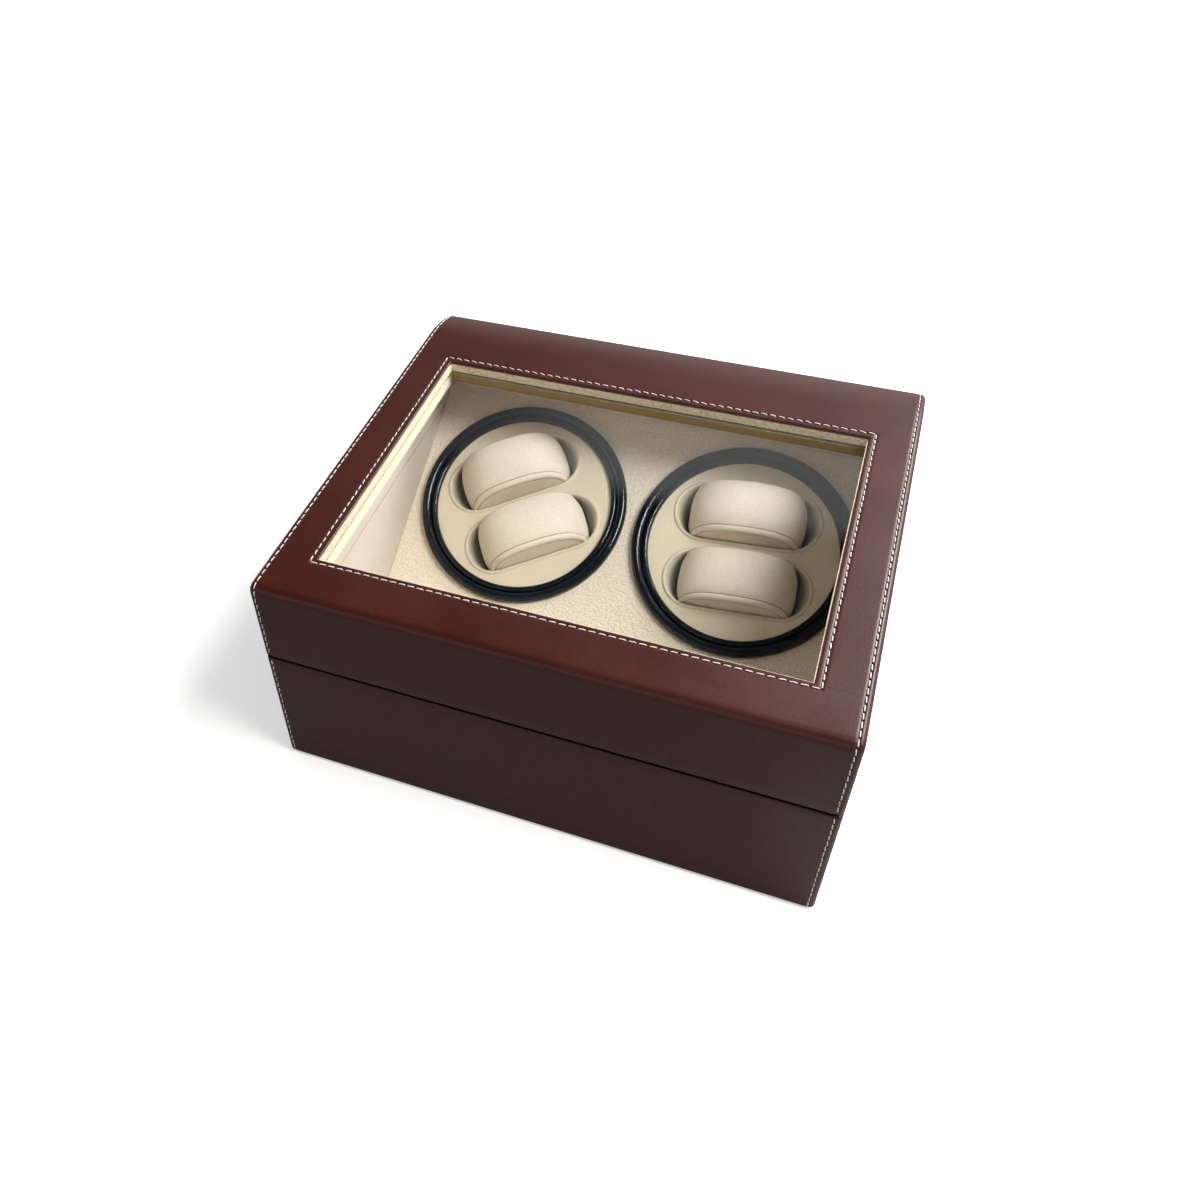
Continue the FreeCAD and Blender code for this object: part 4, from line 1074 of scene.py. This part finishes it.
# Each pocket is one moulding: a soft bead on the disc, then bowed wall, rounded corner and floor.
def makePockets():
    p = pocket
    wall = [(-p["inset"], height) for height in p["wall"]]
    corner = [(-p["inset"] - p["corner"] * (1 - math.cos(a)),
               p["corner"] - p["depth"] - p["corner"] * math.sin(a))
              for a in np.radians(np.linspace(8, 90, 10))]
    section = [*p["bead"], *wall, *corner, *((out, -p["depth"]) for out in p["floor"])]
    loops = [slotLoop(p["radius"] + out, np.interp(height, p["bowAt"], p["bow"])) for out, height in section]
    level = np.array(section)[:, 1]
    uv = pairs(level, np.zeros(len(loops[0]) + 1))[..., ::-1]
    for side, turn in deck["turn"].items():
        for name, way in (("upper", 1), ("lower", -1)):
            aside = way * p["pitch"] / 2
            grid = np.stack([np.insert(loop + (0, aside), 2, w, axis=1) for loop, w in zip(loops, level)])
            middle = onDeck(np.array([0, aside, 8.0]), side, turn)
            shell = turned(patch(onDeck(grid, side, turn), uv, closeCols=True), middle, away=False)
            makePiece("pocket_%s_%s" % (side, name), [shell], "turntable_" + side, "pocket")


makeRings()
makePockets()
print("rings and pockets made")


# Cushions

cushion = {
    "long": 35.6,
    "crown": 18.4,
    "low": -31.2,
    "waist": -8.0,
    "half": 18.1,
    "lean": 1.9,           # how far the end panels lean in towards the crown
    "camber": 2.6,         # how much the band rises between its seams
    "squareness": 2.35,
    "around": 96,
    "across": 17,
    "panelRings": (0.0, 0.16, 0.32, 0.48, 0.62, 0.75, 0.86, 0.94, 0.98),   # shares of the way out
    "roundRings": (90, 85, 77, 66, 52, 38, 24, 13, 5, 0),                  # degrees round the border
    "slideRings": (0.9, 0.72, 0.5, 0.25),                                  # shares of the slide
    "dome": 0.9,           # how far an end panel swells in its middle
    "cap": 1.3,
    "panelCap": 0.8,
    "border": (2.3, 3.4),  # radius of the padded round between band and panel, at waist and crown
    "puff": 0.5,           # how far that round swells
    "pull": 0.4,           # how far its two seams are drawn in
    "slide": 4.0,          # how far the back seams have slipped over the edge, along the surface
    "backHalf": 19.6,      # the top bulges this far towards the deck's high side
    "limit": 18.5,
    "set": {"left_upper": 2.6, "left_lower": 1.4, "right_upper": 0.6, "right_lower": 0.0},
    "ripple": (26.0, 0.2), # size and height of the waves that set the four apart
    "padded": 0.85,
}

stuffing = {
    "scale": 10 * mm,      # the cloth is simulated ten times as large, where its solver is steadier
    "frames": 20,
    "cloth": {"quality": 6, "mass": 0.25, "tension_stiffness": 12, "compression_stiffness": 10,
              "shear_stiffness": 6, "bending_stiffness": 0.6, "use_pressure": True,
              "uniform_pressure_force": 4.0, "vertex_group_mass": "seams"},
}


# The cushion's side outline: an oval squarer than an ellipse, taller below its waist.
def ovalLoop():
    c = cushion
    angle = np.linspace(0, 2 * np.pi, 8 * c["around"], endpoint=False)
    power = 2 / c["squareness"]
    u = c["long"] * np.sign(np.cos(angle)) * np.abs(np.cos(angle)) ** power
    rise = np.where(np.sin(angle) > 0, c["crown"] - c["waist"], c["waist"] - c["low"])
    w = c["waist"] + rise * np.sign(np.sin(angle)) * np.abs(np.sin(angle)) ** power
    closed = np.column_stack([np.append(u, u[0]), np.append(w, w[0])])
    way = wayAlong(closed)
    even = np.linspace(0, way[-1], c["around"], endpoint=False)
    return np.column_stack([np.interp(even, way, closed[:, k]) for k in range(2)])


# The cushion before stuffing: end panel, padded round, band, round, end panel, as rings in one grid.
# Gives the grid, the distance of each point from the nearest seam, and which rings are held.
def cushionGrid():
    c = cushion
    loop = ovalLoop()
    ahead = np.roll(loop, -1, axis=0) - np.roll(loop, 1, axis=0)
    outward = unit(np.column_stack([ahead[:, 1], -ahead[:, 0]]))
    middle = np.array([0, c["waist"] - 1.0])
    above = np.clip((loop[:, 1] - c["waist"]) / (c["crown"] - c["waist"]), 0, 1)
    ease = above ** 2 * (3 - 2 * above)
    radius = c["border"][0] + (c["border"][1] - c["border"][0]) * ease
    arc = radius * quarter
    inner = loop - outward * radius[:, None]

    # Rings from an end panel's centre to the band: the round's seams lie slip further in.
    def section(topHalf, slip):
        seamAt = c["half"] + (topHalf - c["half"]) * ease
        slid = slip * ease
        rings = []

        # A ring at the given way along the surface: band edge at 0, panel beyond the arc.
        def lay(way, swell, near):
            angle = np.clip(way / radius, 0, quarter)
            inward = np.maximum(way - arc, 0)
            reach = (radius + swell) * np.cos(angle) - inward
            side = seamAt - radius + (radius + swell) * np.sin(angle)
            rings.append((inner + outward * reach[:, None], side, near))

        edge = inner - outward * slid[:, None]
        for share in c["panelRings"]:
            side = c["half"] * (1 - share) + seamAt * share + c["dome"] * (1 - share ** 5)
            rings.append((middle + (edge - middle) * share, side, (1 - share) * 20 + 0 * radius))
        for degrees in c["roundRings"]:
            share = degrees / 90
            swell = c["puff"] * max(math.sin(math.pi * share), 0.0) ** 0.7 - c["pull"] * (degrees in (0, 90))
            lay(slid + arc * share, swell, arc * min(share, 1 - share))
        if slip:
            for share in c["slideRings"]:
                lay(slid * share, 0.0, slid * (1 - share) + 0.6 * (1 - ease))
        return rings, seamAt - radius

    front, frontEdge = section(c["half"] - c["lean"], 0.0)
    back, backEdge = section(c["backHalf"], c["slide"])
    rings = [(flat, -side, near) for flat, side, near in front]
    resting = 0.3 + 0.7 * np.clip((loop[:, 1] - c["low"]) / (c["waist"] - c["low"]), 0, 1)
    for share in np.sin(np.linspace(-quarter, quarter, c["across"]))[1:]:
        rise = c["camber"] * resting * (1 - abs(share) ** 3.2)
        at = (frontEdge if share < 0 else backEdge) * share
        rings.append((loop + outward * rise[:, None], at, (1 + share) * c["half"] + 0 * radius))
    rings += back[::-1]
    grid = np.stack([np.column_stack([flat[:, 0], side, flat[:, 1]]) for flat, side, near in rings])
    rows, panels, rounds = len(rings), len(c["panelRings"]), len(c["roundRings"])
    held = [panels, panels + rounds - 1, rows - panels - rounds, rows - panels - 1]
    return grid, np.stack([near for flat, side, near in rings]), held


# Blows the cushion up as cloth held at its four seams, and keeps each point near its start.
def stuffed(grid, held):
    c = cushion
    rows, cols = grid.shape[:2]
    part = turned(patch(grid, closeCols=True), (0, 0, c["waist"]))
    body = meshObject("stuffing", part["points"], part["faces"], stuffing["scale"])
    index = np.arange(rows * cols).reshape(rows, cols)
    seams = index[held + [0, rows - 1]].ravel()
    body.vertex_groups.new(name="seams").add(seams.tolist(), 1.0, "REPLACE")
    settings = body.modifiers.new("cloth", "CLOTH").settings
    for key, value in stuffing["cloth"].items():
        setattr(settings, key, value)
    settings.effector_weights.gravity = 0
    for number in range(1, stuffing["frames"] + 1):
        bpy.context.scene.frame_set(number)
    shown = body.evaluated_get(bpy.context.evaluated_depsgraph_get()).data
    flat = np.empty(len(shown.vertices) * 3, np.float32)
    shown.vertices.foreach_get("co", flat)
    moved = flat.reshape(rows, cols, 3).astype(float) / stuffing["scale"] - grid
    bpy.data.objects.remove(body)
    bpy.context.scene.frame_set(1)
    size = np.linalg.norm(moved, axis=-1, keepdims=True)
    cap = np.full((rows, 1, 1), c["panelCap"])
    cap[held[1] + 1:held[2]] = c["cap"]
    print("stuffing moved the cloth by up to", round(float(size.max()), 2), "mm")
    return grid + moved * np.minimum(1, cap / np.maximum(size, 1e-6))


# One stuffed form set four times, each a little different.
def makeCushions():
    c = cushion
    grid, beside, held = cushionGrid()
    grid = stuffed(grid, held)
    v = np.concatenate([beside, beside[:, :1]], axis=1)
    uv = np.stack([np.zeros_like(v), v], axis=-1)
    number = 0
    for table, turn in deck["turn"].items():
        for name, way in (("upper", 1), ("lower", -1)):
            number += 1
            which = table + "_" + name
            body = "cushion_" + which
            along, around = grid[..., 0] + 90 * number, grid[..., 1] * 1.5 + grid[..., 2]
            ripple = waves(along, around, *c["ripple"], 40 + number)
            soft = grid + unit(grid - (0, 0, c["waist"])) * ripple[..., None]
            above = np.clip((soft[..., 2] - c["waist"]) / (c["crown"] - c["waist"]), 0, 1)
            soft[..., 2] += c["set"][which] * above
            free = np.clip((soft[..., 2] - 2.0) / 6.0, 0, 1) * (c["backHalf"] + 0.8 - c["limit"])
            soft[..., 1] = np.clip(soft[..., 1], -c["limit"], c["limit"] + free)
            place = np.array([0, way * pocket["pitch"] / 2, 0])
            heart = onDeck(place + (0, 0, c["waist"]), table, turn)
            form = turned(patch(onDeck(soft + place, table, turn), uv, closeCols=True), heart)
            piece = makePiece(body + "_suede", [form], body, "cushion", [body], sharp=180.0)


makeCushions()
print("cushions made")


# Studio

camera = {
    "focal": 1128.66,      # this and the centre are pixels of the photo's frame
    "centre": (455.58, 556.01),
    "frame": 1200.0,
    "position": (128.64, -505.04, 597.89),
    "forward": (-0.30368, 0.64745, -0.69899),
    "roll": math.radians(-4.8),
    "sensor": 36.0,
    "clip": (0.01, 50),    # metres
}


def makeCamera():
    c = camera
    forward = Vector(c["forward"]).normalized()
    level = forward.cross(Vector((0, 0, 1))).normalized()
    over = level.cross(forward)
    right = math.cos(c["roll"]) * level + math.sin(c["roll"]) * over
    up = -math.sin(c["roll"]) * level + math.cos(c["roll"]) * over
    lens = bpy.data.cameras.new("photoCamera")
    lens.sensor_width = c["sensor"]
    lens.lens = c["focal"] / c["frame"] * c["sensor"]
    lens.shift_x = (c["frame"] / 2 - c["centre"][0]) / c["frame"]
    lens.shift_y = (c["centre"][1] - c["frame"] / 2) / c["frame"]
    lens.clip_start, lens.clip_end = c["clip"]
    eye = linked("photoCamera", lens)
    turn = Matrix((right, up, -forward)).transposed().to_4x4()
    eye.matrix_world = Matrix.Translation(Vector(c["position"]) * mm) @ turn
    bpy.context.scene.camera = eye


studio = {                 # lengths in metres
    "floorColour": (0.90, 0.90, 0.895, 1),
    "floorDim": (0.24, 0.232, 0.226, 1),
    "floorGlossy": 0.27,   # how much of the pale colour mirrored rays see close to the case
    "floorFade": (0.02, 0.16, 0.24),    # from here to here that falls to this share
    "floorGlow": 0.42,
    "floorRings": (0.001, 0.4, 0.8, 1.6, 3.0, 6.0),
    "worldLight": 0.38,
    "aim": (0, 0, 0.08),
    "key": {"place": (1.15, -0.1, 1.65), "size": 1.1, "power": 43.0, "colour": (1.0, 0.98, 0.955)},
    "window": {"place": (0.95, 1.2, 1.3), "size": 0.9, "power": 51.0, "colour": (1.0, 0.98, 0.98)},
}

# A card that only mirrored rays see: dark overhead, bright beyond its edge, more so to the right
card = {
    "height": 2000.0,
    "edge": 2062.0,
    "soft": 60.0,
    "reach": 9000.0,
    "dark": 0.012,
    "glow": (0.26, 0.98),      # strength at the left and at the right
    "glowAt": (-1.15, -0.45),  # between these places, metres
}


def makeLamp(name):
    look = studio[name]
    lamp = bpy.data.lights.new(name, "AREA")
    lamp.shape = "DISK"
    lamp.size, lamp.energy, lamp.color = look["size"], look["power"], look["colour"]
    holder = linked(name, lamp)
    holder.location = look["place"]
    holder.rotation_mode = "QUATERNION"
    way = Vector(studio["aim"]) - Vector(look["place"])
    holder.rotation_quaternion = way.to_track_quat("-Z", "Y")


# A wide flat round sheet at the table's level. The camera sees it pale and glowing a little; light that
# it throws back on the object, and what the object mirrors of it further out, are dimmer.
def makeFloor():
    angle = np.linspace(0, 2 * np.pi, 96, endpoint=False)
    radius = np.array(studio["floorRings"])[:, None] / mm
    grid = np.stack([radius * np.cos(angle), radius * np.sin(angle), 0 * radius * angle], axis=-1)
    part = turned(patch(grid, closeCols=True), (0, 0, -1000))
    material, shader, place = newMaterial("floorPaper", rough=0.9, specular=0.1)
    tree = material.node_tree
    shader.inputs["Emission Color"].default_value = (1, 1, 1, 1)
    path = addNode(tree, "LightPath").outputs
    seen = maths("MAXIMUM", path["Is Camera Ray"], path["Is Transmission Ray"])
    x, y = axes(place)[:2]
    aside = maths("SUBTRACT", maths("ABSOLUTE", x), case["halfWidth"] * mm)
    ahead = maths("SUBTRACT", maths("ABSOLUTE", y), case["back"] * mm)
    start, stop, left = studio["floorFade"]
    fade = mapped(maths("MAXIMUM", aside, ahead), start, stop, 1.0, left, True)
    mirrored = maths("MULTIPLY", path["Is Glossy Ray"], fade)
    mirrored = maths("MULTIPLY", mirrored, studio["floorGlossy"])
    share = maths("MAXIMUM", seen, mirrored)
    connect(shader, blendColours(share, studio["floorDim"], studio["floorColour"]))
    glow = maths("MULTIPLY", path["Is Camera Ray"], studio["floorGlow"])
    tree.links.new(glow, shader.inputs["Emission Strength"])
    floor = meshObject("floor", part["points"], part["faces"])
    floor.data.materials.append(material)


# The sheet overhead that mirrored rays meet in place of a bare white sky.
def makeCard():
    c = card
    x = np.array([-c["reach"] / 2, c["reach"] / 2])
    y = np.array([-c["reach"] / 3, c["reach"]])
    grid = np.insert(pairs(x, y), 2, c["height"], axis=-1)
    part = turned(patch(grid), (0, 0, 0), away=False)
    material, shader, place = newMaterial("cardGlow")
    tree = material.node_tree
    tree.nodes.remove(shader)
    x, y = axes(place)[:2]
    beyond = mapped(y, (c["edge"] - c["soft"]) * mm, (c["edge"] + c["soft"]) * mm, 0.0, 1.0, True)
    aside = mapped(x, *c["glowAt"], *c["glow"], True)
    glow = maths("MAXIMUM", maths("MULTIPLY", beyond, aside), c["dark"])
    lit = addNode(tree, "Emission", {"Color": (1.0, 1.0, 1.0, 1), "Strength": glow})
    tree.links.new(lit.outputs[0], tree.nodes["Material Output"].inputs[0])
    sheet = meshObject("card", part["points"], part["faces"])
    sheet.data.materials.append(material)
    sheet.visible_camera = sheet.visible_diffuse = sheet.visible_shadow = False


# White behind everything that is seen or mirrored, and a softer even light on the object.
def makeWorld():
    world = bpy.data.worlds.new("studio")
    bpy.context.scene.world = world
    world.use_nodes = True
    tree = world.node_tree
    path = addNode(tree, "LightPath").outputs
    mirrored = maths("MAXIMUM", path["Is Glossy Ray"], path["Is Transmission Ray"])
    seen = maths("MAXIMUM", path["Is Camera Ray"], mirrored)
    back = tree.nodes["Background"]
    back.inputs["Color"].default_value = (1, 1, 1, 1)
    tree.links.new(mapped(seen, 0.0, 1.0, studio["worldLight"], 1.0), back.inputs["Strength"])


makeCamera()
makeWorld()
makeFloor()
makeCard()
for lampName in ("key", "window"):
    makeLamp(lampName)
bpy.context.scene.view_settings.view_transform = "Standard"
print("studio made")
